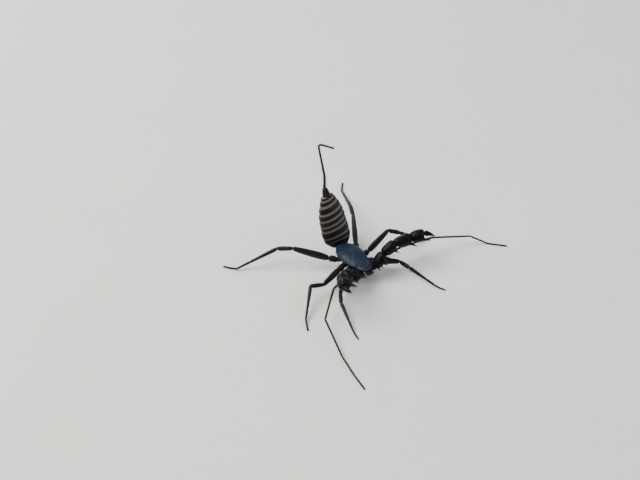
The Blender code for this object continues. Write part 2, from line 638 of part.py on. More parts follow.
def add_abdomen(body):
    start = 0.0
    for number, length in enumerate(ABDOMEN_SEGMENT_LENGTHS, 1):
        end = start + length
        rings = []
        stations = [(start + GAP / 2, ABDOMEN_CUT_SHRINK, start)]
        stations += [(start + length * share, 1.0, None) for share in ABDOMEN_SHOULDERS]
        stations += [(end - GAP / 2, ABDOMEN_CUT_SHRINK, end)]
        for place, size, cut_at in stations:
            half_width = curve_value(ABDOMEN_HALF_WIDTH, place) * size
            rings.append(abdomen_ring(place, half_width, half_width * ABDOMEN_DEPTH_SHARE,
                                      ABDOMEN_RING_POINTS, cut_at))
        shade(add_part(f"abdomen_{number}", loft(rings), "abdomen", body))
        start = end
    rings = []
    for share, radius in PYGIDIUM_PROFILE:
        place = start + GAP / 2 + share * (PYGIDIUM_LENGTH - GAP)
        rings.append(abdomen_ring(place, radius, radius, PYGIDIUM_RING_POINTS))
    shade(add_part("pygidium", loft(rings), "abdomen", body), SOFT_EDGE)
    return start + PYGIDIUM_LENGTH


def whip_direction(length):
    """Direction of the whip at a length from its root: up, then over and out towards one side."""
    upright = heading(180, curve_value(WHIP_PITCH, length))
    over = heading(WHIP_CURL_YAW, WHIP_CURL_PITCH)
    curl = min(max((length - WHIP_CURL_START) / WHIP_CURL_LENGTH, 0.0), 1.0)
    return upright.lerp(over, curl * curl * (3 - 2 * curl)).normalized()


def add_whip(tail_length, body):
    root = follow(ABDOMEN_ROOT, tail_length, abdomen_direction)
    across = Vector((1.0, 0.0, 0.0))
    for (name, count), start, end in zip(WHIP_PIECES, WHIP_CUTS, WHIP_CUTS[1:]):
        rings = []
        for k in range(count):
            place = start + GAP / 2 + (end - start - GAP) * k / (count - 1)
            direction = whip_direction(place)
            beside = (across - direction * across.dot(direction)).normalized()
            above = direction.cross(beside)
            radius = curve_value(WHIP_RADIUS, place)
            centre = follow(root, place, whip_direction)
            ring = []
            for j in range(WHIP_RING_POINTS):
                angle = 2 * math.pi * j / WHIP_RING_POINTS
                ring.append(centre + (beside * math.cos(angle) + above * math.sin(angle)) * radius)
            rings.append(ring)
        shade(add_part(f"whip_{name}", loft(rings), "whip", body))


def centre_over_footprint(body):
    """Move the empty sideways so that the middle of the model's box stands over the origin."""
    corners = []
    for part in body.children:
        corners.extend(vertex.co for vertex in part.data.vertices)
    for axis in (0, 1):
        values = [corner[axis] for corner in corners]
        body.location[axis] = -(min(values) + max(values)) / 2


def build():
    for thing in list(bpy.data.objects):
        bpy.data.objects.remove(thing)
    body = bpy.data.objects.new("body_frame", None)
    bpy.context.scene.collection.objects.link(body)
    add_shield(body)
    add_eyes(body)
    add_underside(body)
    add_chelicerae(body)
    add_palps(body)
    add_legs(body)
    tail_length = add_abdomen(body)
    add_whip(tail_length, body)
    centre_over_footprint(body)


build()
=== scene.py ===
import math
import random

import bmesh
import bpy
import numpy as np
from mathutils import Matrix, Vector, noise


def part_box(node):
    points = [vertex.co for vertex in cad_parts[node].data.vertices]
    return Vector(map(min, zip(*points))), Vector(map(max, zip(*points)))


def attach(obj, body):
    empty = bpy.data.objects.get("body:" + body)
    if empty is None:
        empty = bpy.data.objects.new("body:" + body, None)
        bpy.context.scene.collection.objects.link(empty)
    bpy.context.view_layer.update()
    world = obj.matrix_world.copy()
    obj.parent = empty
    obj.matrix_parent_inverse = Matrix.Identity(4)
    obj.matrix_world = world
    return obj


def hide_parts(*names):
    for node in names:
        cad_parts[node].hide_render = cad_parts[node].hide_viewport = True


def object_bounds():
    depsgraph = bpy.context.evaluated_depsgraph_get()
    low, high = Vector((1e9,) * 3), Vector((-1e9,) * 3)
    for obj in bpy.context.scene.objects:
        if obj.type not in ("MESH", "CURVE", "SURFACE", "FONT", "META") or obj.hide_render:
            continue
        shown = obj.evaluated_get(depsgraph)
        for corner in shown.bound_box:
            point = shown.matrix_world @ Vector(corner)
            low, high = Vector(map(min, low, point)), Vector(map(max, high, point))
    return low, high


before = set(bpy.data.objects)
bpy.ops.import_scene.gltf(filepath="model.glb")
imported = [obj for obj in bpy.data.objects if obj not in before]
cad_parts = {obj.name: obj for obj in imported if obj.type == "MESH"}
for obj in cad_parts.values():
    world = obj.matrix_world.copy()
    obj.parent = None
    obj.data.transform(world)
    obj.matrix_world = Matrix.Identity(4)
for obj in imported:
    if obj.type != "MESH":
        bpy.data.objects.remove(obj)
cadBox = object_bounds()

print("whip scorpion: frame loaded, box", [round(value, 4) for corner in cadBox for value in corner])

# Shapes are worked out in millimetres in the animal's own frame: it faces -Y, its left side is +X,
# and the origin is on the floor under the middle of the carapace, which the frame gives.
mm = 0.001
up = np.array((0.0, 0.0, 1.0))
forward = np.array((0.0, -1.0, 0.0))
sides = {"L": 1, "R": -1}
shieldLow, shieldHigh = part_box("carapace")
shieldFront = -6.7
boxLow, boxHigh = np.array(cadBox[0]), np.array(cadBox[1])
origin = np.array(((shieldLow.x + shieldHigh.x) / 2, shieldLow.y - shieldFront * mm, 0.0))
rng = random.Random(7)


# numbers, curves and directions

def curveAt(table, at, k=1):
    # smooth curve through rows of a place and its values, of which k picks one
    places = np.array([row[0] for row in table], float)
    values = np.array([row[k] if len(row) > k else 0.0 for row in table], float)
    rows = np.arange(len(table))
    before, after = np.maximum(rows - 1, 0), np.minimum(rows + 1, rows[-1])
    slopes = (values[after] - values[before]) / (places[after] - places[before])
    at = np.clip(at, places[0], places[-1])
    row = np.clip(np.searchsorted(places, at, side="right") - 1, 0, rows[-1] - 1)
    span = places[row + 1] - places[row]
    t = (at - places[row]) / span
    value = (1 + 2 * t) * (1 - t) ** 2 * values[row] + t * t * (3 - 2 * t) * values[row + 1]
    return value + span * t * (1 - t) * ((1 - t) * slopes[row] - t * slopes[row + 1])


def unit(vector):
    return vector / np.linalg.norm(vector)


def heading(yaw, pitch, side=1):
    # yaw 0 points forward and 90 straight out to the side, pitch is the lift above level
    yaw, pitch = math.radians(yaw), math.radians(pitch)
    level = math.cos(pitch)
    return np.array((side * math.sin(yaw) * level, -math.cos(yaw) * level, math.sin(pitch)))


def crossways(along):
    # two directions square to along and to each other
    across = unit(np.cross(along, up if abs(along[2]) < 0.9 else forward))
    return across, np.cross(across, along)


def mirrored(point, side):
    return np.array((side * point[0], point[1], point[2]), float)


def bump(distance, width):
    return np.exp(-(distance / width) ** 2)


def smoothStep(value, low, high):
    t = np.clip((value - low) / (high - low), 0, 1)
    return t * t * (3 - 2 * t)


def ringAt(centre, along, halfWidth, halfHeight, cut, angles, square=1.0):
    # oval around a limb, its points slid along the limb onto the plane square to cut
    across = unit(np.cross(along, up))
    above = np.cross(across, along)
    c, s = np.cos(angles), np.sin(angles)
    if square != 1.0:
        c, s = np.sign(c) * np.abs(c) ** square, np.sign(s) * np.abs(s) ** square
    offset = np.outer(c * halfWidth, across) + np.outer(s * halfHeight, above)
    return centre + offset - np.outer(offset @ cut / (along @ cut), along)


def insideBox(point, margin):
    # whether a point stays inside the model's own box, and off the floor
    place = np.array(point) * mm + origin
    return bool(np.all(place > boxLow + margin * mm) and np.all(place < boxHigh - margin * mm))


def around(count):
    return 2 * math.pi * (np.arange(count) + 0.5) / count


def gridNormals(grid, closed=True):
    alongWay = np.gradient(grid, axis=0)
    if closed:
        roundWay = np.roll(grid, -1, axis=1) - np.roll(grid, 1, axis=1)
    else:
        roundWay = np.gradient(grid, axis=1)
    normals = np.cross(alongWay, roundWay)
    return normals / np.maximum(np.linalg.norm(normals, axis=2, keepdims=True), 1e-9)


def pattern(grid, size, seed, heightAt):
    # height at each point of a grid, one cell of the pattern being size across
    flat = grid.reshape(-1, 3) / size + seed
    return np.array([heightAt(Vector(point)) for point in flat]).reshape(grid.shape[:2])


def grains(grid, size, seed=0.0):
    # small round grains, 0 to 1
    return pattern(grid, size, seed, lambda at: max(0.0, 1.0 - noise.voronoi(at)[0][0] / 0.55) ** 0.7)


def waves(grid, size, seed=0.0):
    return pattern(grid, size, seed, noise.noise)


def relief(grid, surface, seeds):
    # grains and soft waves together; surface gives the size and height of both
    (grainSize, grainHeight), (waveSize, waveHeight) = surface
    rough = grains(grid, grainSize, seeds[0]) * grainHeight
    return rough + waves(grid, waveSize, seeds[1]) * waveHeight


def swell(grid, amount, closed=True):
    # moves each point out along its surface normal, amount in mm
    return grid + gridNormals(grid, closed) * amount[:, :, None]


def shrunk(rings, scale):
    # rings of points drawn in towards their own middles
    middles = rings.mean(axis=-2, keepdims=True)
    return middles + (rings - middles) * scale


def circleAt(centre, radius, across, above, angles):
    return centre + radius * (np.outer(np.cos(angles), across) + np.outer(np.sin(angles), above))


def gridFaces(rows, columns, closed):
    # corners of the faces between neighbouring rows and columns of points
    across = columns if closed else columns - 1
    i, j = np.meshgrid(np.arange(rows - 1), np.arange(across), indexing="ij")
    near, far = i * columns, (i + 1) * columns
    n = (j + 1) % columns
    return np.stack([near + j, far + j, far + n, near + n], -1).reshape(-1, 4)


# mesh making

class Shape:
    # gathers the points and faces of one piece, with two surface values for its material:
    # soft is 1 on skin between shells, tone is 1 where a shell is thin, such as at its edges
    def __init__(self):
        self.points, self.soft, self.tone, self.faces = [], [], [], []
        self.count = 0

    def addPoints(self, points, soft, tone):
        points = points.reshape(-1, 3)
        self.points.append(points)
        self.soft.append(np.full(len(points), soft, float))
        self.tone.append(np.broadcast_to(np.ravel(tone), len(points)))
        self.count += len(points)
        return self.count - len(points)

    def addTube(self, grid, soft=0.0, tone=0.0):
        # closed tube through rings of points; tone is one number, or one for each ring or point
        rows, columns = grid.shape[:2]
        tone = np.reshape(tone, (-1, 1)) if np.ndim(tone) == 1 else tone
        tone = np.broadcast_to(tone, (rows, columns))
        first = self.addPoints(grid, soft, tone)
        self.faces.extend((gridFaces(rows, columns, True) + first).tolist())
        for row in (0, rows - 1):
            centre = self.addPoints(grid[row].mean(axis=0), soft, tone[row, 0])
            ring = (first + row * columns + np.arange(columns)).tolist()
            self.faces.extend([a, b, centre] for a, b in zip(ring, ring[1:] + ring[:1]))

    def addPlate(self, outer, inner, tone=0.0):
        # thin closed plate between an outer and an inner sheet
        rows, columns = outer.shape[:2]
        first, second = self.addPoints(outer, 0.0, tone), self.addPoints(inner, 0.0, tone)
        quads = gridFaces(rows, columns, False)
        self.faces.extend((quads + first).tolist())
        self.faces.extend((quads[:, ::-1] + second).tolist())
        index = np.arange(rows * columns).reshape(rows, columns)
        edge = np.concatenate([index[0], index[1:, -1], index[-1, -2::-1], index[-2:0:-1, 0]]).tolist()
        for a, b in zip(edge, edge[1:] + edge[:1]):
            self.faces.append([first + a, first + b, second + b, second + a])

    def addSpine(self, base, along, length, radius, bend=(0, 0, 0), rings=7, columns=10, tone=0.6):
        # curved thorn whose root is sunk into what it grows from
        sink = 0.3
        across, above = crossways(along)
        grid = []
        for t in np.linspace(0, 1, rings):
            place = -sink + (1 + sink) * t
            size = radius * (1.06 - 1.03 * max(place, 0) ** 0.9)
            centre = base + along * length * place + np.array(bend) * max(place, 0) ** 2
            grid.append(circleAt(centre, size, across, above, around(columns)))
        self.addTube(np.array(grid), tone=np.linspace(0, 1, rings) ** 1.5 * tone)

    def addBall(self, centre, radii, rings=14, columns=24, tone=0.0):
        tilt = np.linspace(0.12, math.pi - 0.12, rings)
        turn = around(columns)
        grid = np.stack([np.outer(np.sin(tilt), np.cos(turn)), np.outer(np.sin(tilt), np.sin(turn)),
                         np.outer(np.cos(tilt), np.ones(columns))], -1)
        self.addTube(grid * radii + centre, tone=tone)


def makeMesh(name, points, faces, values):
    # a mesh from points in mm, with one named surface value or more for its material
    mesh = bpy.data.meshes.new(name)
    mesh.from_pydata((points * mm + origin).tolist(), [], faces)
    for label, value in values.items():
        attribute = mesh.attributes.new(label, "FLOAT", "POINT")
        attribute.data.foreach_set("value", value.astype(np.float32))
    return mesh


def addObject(name, data):
    thing = bpy.data.objects.new(name, data)
    bpy.context.scene.collection.objects.link(thing)
    return thing


def placePiece(mesh, material):
    mesh.materials.append(material)
    mesh.shade_smooth()
    piece = addObject(mesh.name, mesh)
    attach(piece, "root")
    return piece


def makePiece(name, shape, material, nodes=(), sharpAngle=50):
    values = {"soft": np.concatenate(shape.soft), "tone": np.concatenate(shape.tone)}
    mesh = makeMesh(name, np.concatenate(shape.points), shape.faces, values)
    builder = bmesh.new()
    builder.from_mesh(mesh)
    bmesh.ops.recalc_face_normals(builder, faces=builder.faces)
    builder.to_mesh(mesh)
    builder.free()
    piece = placePiece(mesh, material)
    mesh.set_sharp_from_angle(angle=math.radians(sharpAngle))
    if nodes:
        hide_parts(*nodes)


# materials

class Wire:
    # one output of a node, so that shader maths reads as an expression
    def __init__(self, graph, socket):
        self.graph, self.socket = graph, socket

    def join(self, operation, first, second):
        return self.graph.add("Math", {"operation": operation}, {0: first, 1: second})

    def __add__(self, other):
        return self.join("ADD", self, other)

    def __radd__(self, other):
        return self.join("ADD", other, self)

    def __sub__(self, other):
        return self.join("SUBTRACT", self, other)

    def __rsub__(self, other):
        return self.join("SUBTRACT", other, self)

    def __mul__(self, other):
        return self.join("MULTIPLY", self, other)

    def __rmul__(self, other):
        return self.join("MULTIPLY", other, self)


class Finish:
    # a material and the few ways in which its nodes are made
    sockets = {"colour": "Base Color", "coat": "Coat Weight", "coatRoughness": "Coat Roughness",
               "specular": "Specular IOR Level", "roughness": "Roughness", "normal": "Normal"}

    def __init__(self, name):
        self.material = bpy.data.materials.new(name)
        self.material.use_nodes = True
        self.tree = self.material.node_tree
        self.shader = self.tree.nodes["Principled BSDF"]

    def add(self, kind, settings, values, output=0):
        node = self.tree.nodes.new("ShaderNode" + kind)
        for key, value in settings.items():
            setattr(node, key, value)
        for key, value in values.items():
            self.feed(node.inputs[key], value)
        return Wire(self, node.outputs[output])

    def feed(self, socket, value):
        if isinstance(value, Wire):
            self.tree.links.new(value.socket, socket)
        else:
            isColour = isinstance(value, tuple) and len(socket.default_value) == 4
            socket.default_value = (*value, 1.0) if isColour else value

    def blend(self, factor, first, second):
        # mix of two colours; sockets 6 and 7 are the colours A and B, output 2 the colour
        return self.add("Mix", {"data_type": "RGBA"}, {0: factor, 6: first, 7: second}, 2)

    def where(self):
        return self.add("TexCoord", {}, {}, 3)

    def cloud(self, place, scale, detail, rough):
        values = {"Vector": place, "Scale": scale, "Detail": detail, "Roughness": rough}
        return self.add("TexNoise", {}, values)

    def cells(self, place, scale):
        return self.add("TexVoronoi", {}, {"Vector": place, "Scale": scale})

    def surface(self, name):
        return self.add("Attribute", {"attribute_type": "GEOMETRY", "attribute_name": name}, {}, 2)

    def ramp(self, value, low, high):
        values = {"Value": value, "From Min": low, "From Max": high}
        return self.add("MapRange", {"clamp": True}, values)

    def bump(self, strength, distance, height):
        return self.add("Bump", {}, {"Strength": strength, "Distance": distance, "Height": height})

    def set(self, **values):
        for key, value in values.items():
            self.feed(self.shader.inputs[self.sockets[key]], value)


# Colours are linear. Scales are per metre, so 4000 gives a pattern of a quarter of a millimetre.
shellLooks = {
    # the carapace: its own black, with every colour tinted blue as a painted reflection of a blue sky
    "shield": dict(dark=(0.0044, 0.009, 0.0195), light=(0.0088, 0.0195, 0.0385),
                   thin=(0.008, 0.0085, 0.015), skin=(0.07, 0.052, 0.042), grain=5200.0,
                   grainDepth=0.5, rough=(0.38, 0.6), shine=0.16, coat=0.05, dust=0.045),
    "plate": dict(dark=(0.0042, 0.0036, 0.0038), light=(0.0125, 0.0105, 0.0102),
                  thin=(0.018, 0.012, 0.01), skin=(0.16, 0.135, 0.115), grain=6500.0,
                  grainDepth=0.4, rough=(0.44, 0.66), shine=0.14, coat=0.0, dust=0.1),
    "palp": dict(dark=(0.0014, 0.0014, 0.0018), light=(0.004, 0.004, 0.0056),
                 thin=(0.01, 0.0042, 0.0035), skin=(0.016, 0.01, 0.0085), grain=4600.0,
                 grainDepth=0.45, rough=(0.3, 0.5), shine=0.075, coat=0.035, dust=0.02),
    "leg": dict(dark=(0.004, 0.0032, 0.0046), light=(0.012, 0.0098, 0.0135),
                thin=(0.022, 0.0085, 0.008), skin=(0.03, 0.0185, 0.0155), grain=8200.0,
                grainDepth=0.3, rough=(0.32, 0.54), shine=0.14, coat=0.04, dust=0.06),
    "feeler": dict(dark=(0.0075, 0.0052, 0.0052), light=(0.019, 0.0135, 0.0125),
                   thin=(0.03, 0.013, 0.01), skin=(0.05, 0.032, 0.025), grain=11000.0,
                   grainDepth=0.25, rough=(0.42, 0.62), shine=0.16, coat=0.02, dust=0.06),
    "underside": dict(dark=(0.005, 0.0026, 0.0026), light=(0.015, 0.0078, 0.0066),
                      thin=(0.022, 0.01, 0.0075), skin=(0.05, 0.036, 0.029), grain=7000.0,
                      grainDepth=0.3, rough=(0.34, 0.55), shine=0.16, coat=0.04, dust=0.06),
    "jaw": dict(dark=(0.004, 0.0021, 0.002), light=(0.012, 0.0056, 0.0046),
                thin=(0.004, 0.002, 0.0018), skin=(0.1, 0.06, 0.045), grain=9000.0,
                grainDepth=0.25, rough=(0.26, 0.45), shine=0.2, coat=0.08, dust=0.04),
    "whip": dict(dark=(0.007, 0.0042, 0.0038), light=(0.019, 0.0115, 0.0092),
                 thin=(0.034, 0.019, 0.013), skin=(0.05, 0.032, 0.025), grain=14000.0,
                 grainDepth=0.25, rough=(0.45, 0.65), shine=0.14, coat=0.0, dust=0.06),
}


def shellFinish(name):
    look = shellLooks[name]
    finish = Finish("cuticle_" + name)
    place = finish.where()
    soft, tone = finish.surface("soft"), finish.surface("tone")
    broad = finish.ramp(finish.cloud(place, 420.0, 4.0, 0.6), 0.35, 0.68)
    mottle = finish.ramp(finish.cloud(place, 2600.0, 3.0, 0.6), 0.35, 0.7)
    grain = finish.cells(place, look["grain"])
    fine = finish.cloud(place, look["grain"] * 3.5, 2.0, 0.6)
    grainTop = 1 - finish.ramp(grain, 0.05, 0.62)
    colour = finish.blend(broad * 0.55 + mottle * 0.3 + grainTop * 0.15, look["dark"], look["light"])
    colour = finish.blend(tone * 0.85, colour, look["thin"])
    dust = finish.ramp(finish.cloud(place, 5200.0, 5.0, 0.7), 0.58, 0.8) * (1 - grainTop) * look["dust"]
    colour = finish.blend(dust, colour, (0.12, 0.105, 0.09))
    darkSkin = tuple(value * 0.72 for value in look["skin"])
    skinColour = finish.blend(finish.ramp(fine, 0.3, 0.7), darkSkin, look["skin"])
    colour = finish.blend(soft, colour, skinColour)
    low, high = look["rough"]
    rough = low + (high - low) * (mottle * 0.5 + fine * 0.5) + soft * 0.18
    height = grainTop * look["grainDepth"] * (1 - soft) + fine * 0.3 + mottle * 0.25
    normal = finish.bump(0.55, 0.00004, height)
    coat = (1 - soft) * look["coat"] if look["coat"] else 0.0
    finish.set(colour=colour, roughness=rough, normal=normal, coat=coat, coatRoughness=0.3,
               specular=look["shine"])
    return finish.material


skinLook = {"fold": (0.045, 0.036, 0.030), "crest": (0.165, 0.146, 0.124), "pleats": 9000.0}


def skinFinish():
    finish = Finish("soft_skin")
    place = finish.where()
    crest = finish.surface("tone")
    cloudy = finish.cloud(place, 1500.0, 4.0, 0.6)
    fine = finish.cloud(place, skinLook["pleats"], 3.0, 0.7)
    amount = crest * 0.75 + finish.ramp(cloudy, 0.3, 0.7) * 0.25
    colour = finish.blend(amount, skinLook["fold"], skinLook["crest"])
    colour = finish.blend(finish.ramp(fine, 0.52, 0.8) * 0.35, colour, (0.05, 0.037, 0.03))
    normal = finish.bump(0.7, 0.00005, fine + cloudy * 0.5)
    finish.set(colour=colour, roughness=0.5 + fine * 0.25, normal=normal, specular=0.3)
    return finish.material


def eyeFinish():
    finish = Finish("eye_lens")
    place = finish.where()
    cloudy = finish.cloud(place, 5000.0, 2.0, 0.5)
    colour = finish.blend(cloudy, (0.0035, 0.0030, 0.0035), (0.0090, 0.0065, 0.0060))
    colour = finish.blend(finish.surface("tone"), colour, (0.0140, 0.0085, 0.0070))
    finish.set(colour=colour, roughness=0.2 + cloudy * 0.1, coat=0.12, coatRoughness=0.08, specular=0.2)
    return finish.material


def bristleFinish(name, root, tip):
    finish = Finish("bristle_" + name)
    place = finish.where()
    cloudy = finish.cloud(place, 3000.0, 2.0, 0.5)
    colour = finish.blend(finish.surface("tone") * 0.8 + cloudy * 0.2, root, tip)
    finish.set(colour=colour, roughness=0.38 + cloudy * 0.2, specular=0.35)
    return finish.material


shells = {name: shellFinish(name) for name in shellLooks}
skinMaterial = skinFinish()
eyeMaterial = eyeFinish()
darkBristle = bristleFinish("dark", (0.010, 0.0055, 0.0045), (0.045, 0.024, 0.015))
redBristle = bristleFinish("red", (0.018, 0.0062, 0.0042), (0.062, 0.025, 0.015))
print("materials made:", len(bpy.data.materials))


# bristles: solid tapered hairs, gathered into a few joined meshes

hairAngles = 2 * math.pi * np.arange(3) / 3
hairPatch = 0.0015 * np.stack([np.cos(hairAngles + 0.5), np.sin(hairAngles + 0.5)], -1)
hairFaces = [(k, (k + 1) % 3, (k + 1) % 3 + 3, k + 3) for k in range(3)]
hairFaces += [tuple(corner + 3 for corner in face) for face in hairFaces]
hairFaces += [(6 + k, 6 + (k + 1) % 3, 9) for k in range(3)] + [(2, 1, 0)]


class Coat:
    # every hair's faces share one small patch of the OFBake map, at its root's place on the
    # unwrapped skin; each stretch of skin has a cell of its own in that map
    def __init__(self, cells):
        self.perRow = math.ceil(math.sqrt(cells))
        self.points, self.faces, self.tone, self.uvs = [], [], [], []
        self.cell = 0

    def patch(self, shareAlong, shareAround):
        corner = np.array((self.cell % self.perRow, self.cell // self.perRow))
        return (corner + 0.06 + 0.88 * np.array((shareAround, shareAlong))) / self.perRow

    def addHair(self, root, along, length, radius, bend, uv):
        # three-sided tapered hair of three rings and a tip
        across, above = crossways(along)
        first = len(self.points)
        for place, size, patchSize in ((-0.06, 1.0, 1.0), (0.35, 0.8, 0.65), (0.7, 0.5, 0.35)):
            centre = root + along * length * place + bend * max(place, 0) ** 2
            self.points.extend(circleAt(centre, radius * size, across, above, hairAngles))
            self.tone.extend([max(place, 0)] * 3)
            self.uvs.extend(uv + hairPatch * patchSize)
        self.points.append(root + along * length + bend)
        self.tone.append(1.0)
        self.uvs.append(uv)
        self.faces.extend(tuple(first + corner for corner in face) for face in hairFaces)

    def cover(self, grid, count, length, radius, lean=0.9, rows=(0.03, 0.97), spread=0.35, closed=True):
        # strews hairs over a stretch of skin; lean 0 stands straight up, 1 leans by 45 degrees
        rowCount, columnCount = grid.shape[:2]
        normals = gridNormals(grid, closed)
        for _ in range(count):
            i = (rows[0] + (rows[1] - rows[0]) * rng.random()) * (rowCount - 1)
            j = rng.random() * (columnCount if closed else columnCount - 1)
            row, col = min(int(i), rowCount - 2), int(j)
            before, after = grid[row:row + 2, col], grid[row:row + 2, (col + 1) % columnCount]
            pair = before * (1 - j + col) + after * (j - col)
            root = pair[0] * (1 - i + row) + pair[1] * (i - row)
            normal = normals[row, col]
            along = unit(grid[row + 1, col] - grid[row, col])
            turn = np.array([rng.uniform(-1, 1) for _ in range(3)]) * spread
            way = unit(normal + along * lean + turn)
            size = length * rng.uniform(0.6, 1.15)
            bend = along * size * 0.25 * lean - normal * size * 0.12
            if insideBox(root + way * size + bend, 0.03):
                uv = self.patch(i / (rowCount - 1), j / columnCount)
                self.addHair(root, way, size, radius, bend, uv)
        self.cell += 1

    def make(self, name, material):
        mesh = makeMesh(name, np.array(self.points), self.faces, {"tone": np.array(self.tone)})
        layer = mesh.uv_layers.new(name="OFBake")
        corners = np.zeros(len(mesh.loops), np.int32)
        mesh.loops.foreach_get("vertex_index", corners)
        layer.data.foreach_set("uv", np.array(self.uvs)[corners].astype(np.float32).ravel())
        placePiece(mesh, material)
        print(name, "hairs with", len(self.faces), "faces")


# carapace

carapace = {
    "halfWidth": ((0.0, 0.7), (0.025, 1.35), (0.1, 2.0), (0.22, 2.55), (0.35, 3.1),
                  (0.5, 3.6), (0.66, 3.8), (0.8, 3.5), (0.92, 2.8), (1.0, 1.95)),
    "ridge": ((0.0, 5.75), (0.08, 6.1), (0.25, 6.35), (0.45, 6.7), (0.65, 6.85), (0.85, 6.4),
              (1.0, 5.75)),
    "rim": ((0.0, 5.45), (0.2, 5.35), (0.45, 5.05), (0.7, 4.95), (1.0, 5.05)),
    "rimThickness": 0.25,
    "fullness": 0.8,
    "stations": 190, "arch": 131,
    "bead": (0.1, 0.09),                     # height and width of the raised rim
    # keel from the side eyes to the middle eyes: mm from the middle, share of the length
    "keel": ((1.98, 0.245), (1.5, 0.17), (0.85, 0.115), (0.42, 0.09)),
    "keelHeight": 0.13, "keelWidth": 0.13,
    "fovea": (0.61, 0.73, 0.2, 0.12),        # from, to, depth and width of the groove in the middle
    # start, end and depth of the grooves on each side
    "furrows": (((0.1, 0.60), (2.5, 0.40), 0.15), ((0.1, 0.63), (3.1, 0.57), 0.13),
                ((0.1, 0.68), (3.2, 0.74), 0.13), ((0.1, 0.73), (2.3, 0.9), 0.13)),
    "furrowWidth": 0.3,
    "middleLine": (0.05, 0.18),              # height and width, between the eyes and the groove
    "frontNotch": (0.07, 0.1),               # depth and width
    "surface": ((0.3, 0.028), (1.3, 0.03)),  # size and height of the grains, then of the waves
    "eyeMound": (1.32, 1.28, 0.95),          # as shares of the eye's own size
}
shieldLength = (shieldHigh.y - shieldLow.y) / mm


def lineDistance(x, y, start, end):
    # distance in mm from points to a stretch of line, and the share along it
    dx, dy = end[0] - start[0], end[1] - start[1]
    t = np.clip(((x - start[0]) * dx + (y - start[1]) * dy) / (dx * dx + dy * dy), 0, 1)
    return np.hypot(x - start[0] - t * dx, y - start[1] - t * dy), t


def shieldRelief(x, share):
    # large form of the carapace: keels, the groove in the middle and the furrows beside it
    y = share * shieldLength
    reach = np.abs(x)
    keel = [(kx, ks * shieldLength) for kx, ks in carapace["keel"]]
    keelDistance = np.min([lineDistance(reach, y, a, b)[0] for a, b in zip(keel, keel[1:])], axis=0)
    height = carapace["keelHeight"] * bump(keelDistance, carapace["keelWidth"])
    start, end, depth, width = carapace["fovea"]
    distance, _ = lineDistance(x, y, (0, start * shieldLength), (0, end * shieldLength))
    height -= depth * bump(distance, width) + 0.3 * depth * bump(distance, width * 3.5)
    for (sx, sShare), (ex, eShare), depth in carapace["furrows"]:
        distance, t = lineDistance(reach, y, (sx, sShare * shieldLength), (ex, eShare * shieldLength))
        width = carapace["furrowWidth"] * (0.6 + 0.7 * t)
        height -= depth * bump(distance, width) * (1 - 0.55 * t)
    lineHeight, width = carapace["middleLine"]
    inFront = smoothStep(share, 0.1, 0.2) * (1 - smoothStep(share, 0.42, 0.58))
    height += lineHeight * bump(x, width) * inFront
    depth, width = carapace["frontNotch"]
    return height - depth * bump(x, width) * (1 - smoothStep(share, 0.02, 0.08))


def makeCarapace():
    shares = np.linspace(0, 1, carapace["stations"]) ** 1.12
    angles = np.linspace(0, math.pi, carapace["arch"])
    halfWidth, rim, ridge = (curveAt(carapace[name], shares)[:, None]
                             for name in ("halfWidth", "rim", "ridge"))
    x = halfWidth * np.cos(angles)
    share = np.broadcast_to(shares[:, None], x.shape)
    rise = np.sin(angles) ** carapace["fullness"]
    top = np.stack([x, shieldFront + share * shieldLength, rim + (ridge - rim) * rise], -1)
    edge = (1 - np.abs(np.cos(angles))) * halfWidth
    endEdge = np.minimum(shares, 1 - shares)[:, None] * shieldLength
    inner = smoothStep(edge, 0.12, 0.5) * smoothStep(endEdge, 0.1, 0.6)
    beadHeight, beadWidth = carapace["bead"]
    nearRim = np.minimum(edge * 1.6, endEdge) - beadWidth
    height = (shieldRelief(x, share) + relief(top, carapace["surface"], (0, 0))) * inner
    top = swell(top, height + beadHeight * bump(nearRim, beadWidth), closed=False)
    lowZ = rim - carapace["rimThickness"] + (ridge - rim) * 0.55 * rise[::-1]
    low = np.stack([x[:, ::-1] * 0.93, top[:, ::-1, 1], lowZ], -1)[:, 1:-1]
    tone = np.concatenate([bump(nearRim, 0.1) * 0.7, np.zeros(low.shape[:2])], axis=1)
    shape = Shape()
    shape.addTube(np.concatenate([top, low], axis=1), tone=tone)
    # low mounds that carry the eyes
    for side in sides.values():
        for kind in ("eyes_lateral", "eye_median"):
            _, middle, radii = eyeSpot(kind, side)
            shape.addBall(middle - up * radii[2] * 0.55, radii * carapace["eyeMound"], tone=0.15)
    # its material's blue tint is a painted sky reflection on the black shell
    makePiece("carapace", shape, shells["shield"], ["carapace"], 60)
    print("carapace made")
    return top


# eyes

def eyeSpot(kind, side):
    letter = "L" if side == 1 else "R"
    low, high = (np.array(corner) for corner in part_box(f"{kind}_{letter}"))
    return letter, ((low + high) / 2 - origin) / mm, (high - low) / 2 / mm


sideEyes = {"places": ((0.1, -0.26), (0.13, 0.2), (-0.17, 0.02)), "radius": 0.19}


def makeEyes():
    radius = sideEyes["radius"]
    for side in sides.values():
        letter, middle, radii = eyeSpot("eye_median", side)
        shape = Shape()
        shape.addBall(middle, radii, 22, 32)
        makePiece(f"medianEye{letter}", shape, eyeMaterial, [f"eye_median_{letter}"])
        letter, middle, radii = eyeSpot("eyes_lateral", side)
        shape = Shape()
        for outward, backward in sideEyes["places"]:
            rise = math.sqrt(max(0.1, 1 - (outward / radii[0]) ** 2 - (backward / radii[1]) ** 2))
            lift = rise * radii[2] * 0.72 - radius * 0.45
            centre = middle + np.array((side * outward, backward, lift))
            shape.addBall(centre, (radius, radius, radius), 16, 24, tone=0.5)
        makePiece(f"sideEyes{letter}", shape, eyeMaterial, [f"eyes_lateral_{letter}"])
    print("eyes made")


# abdomen: curves along its axis start at the root and run on into the tail end

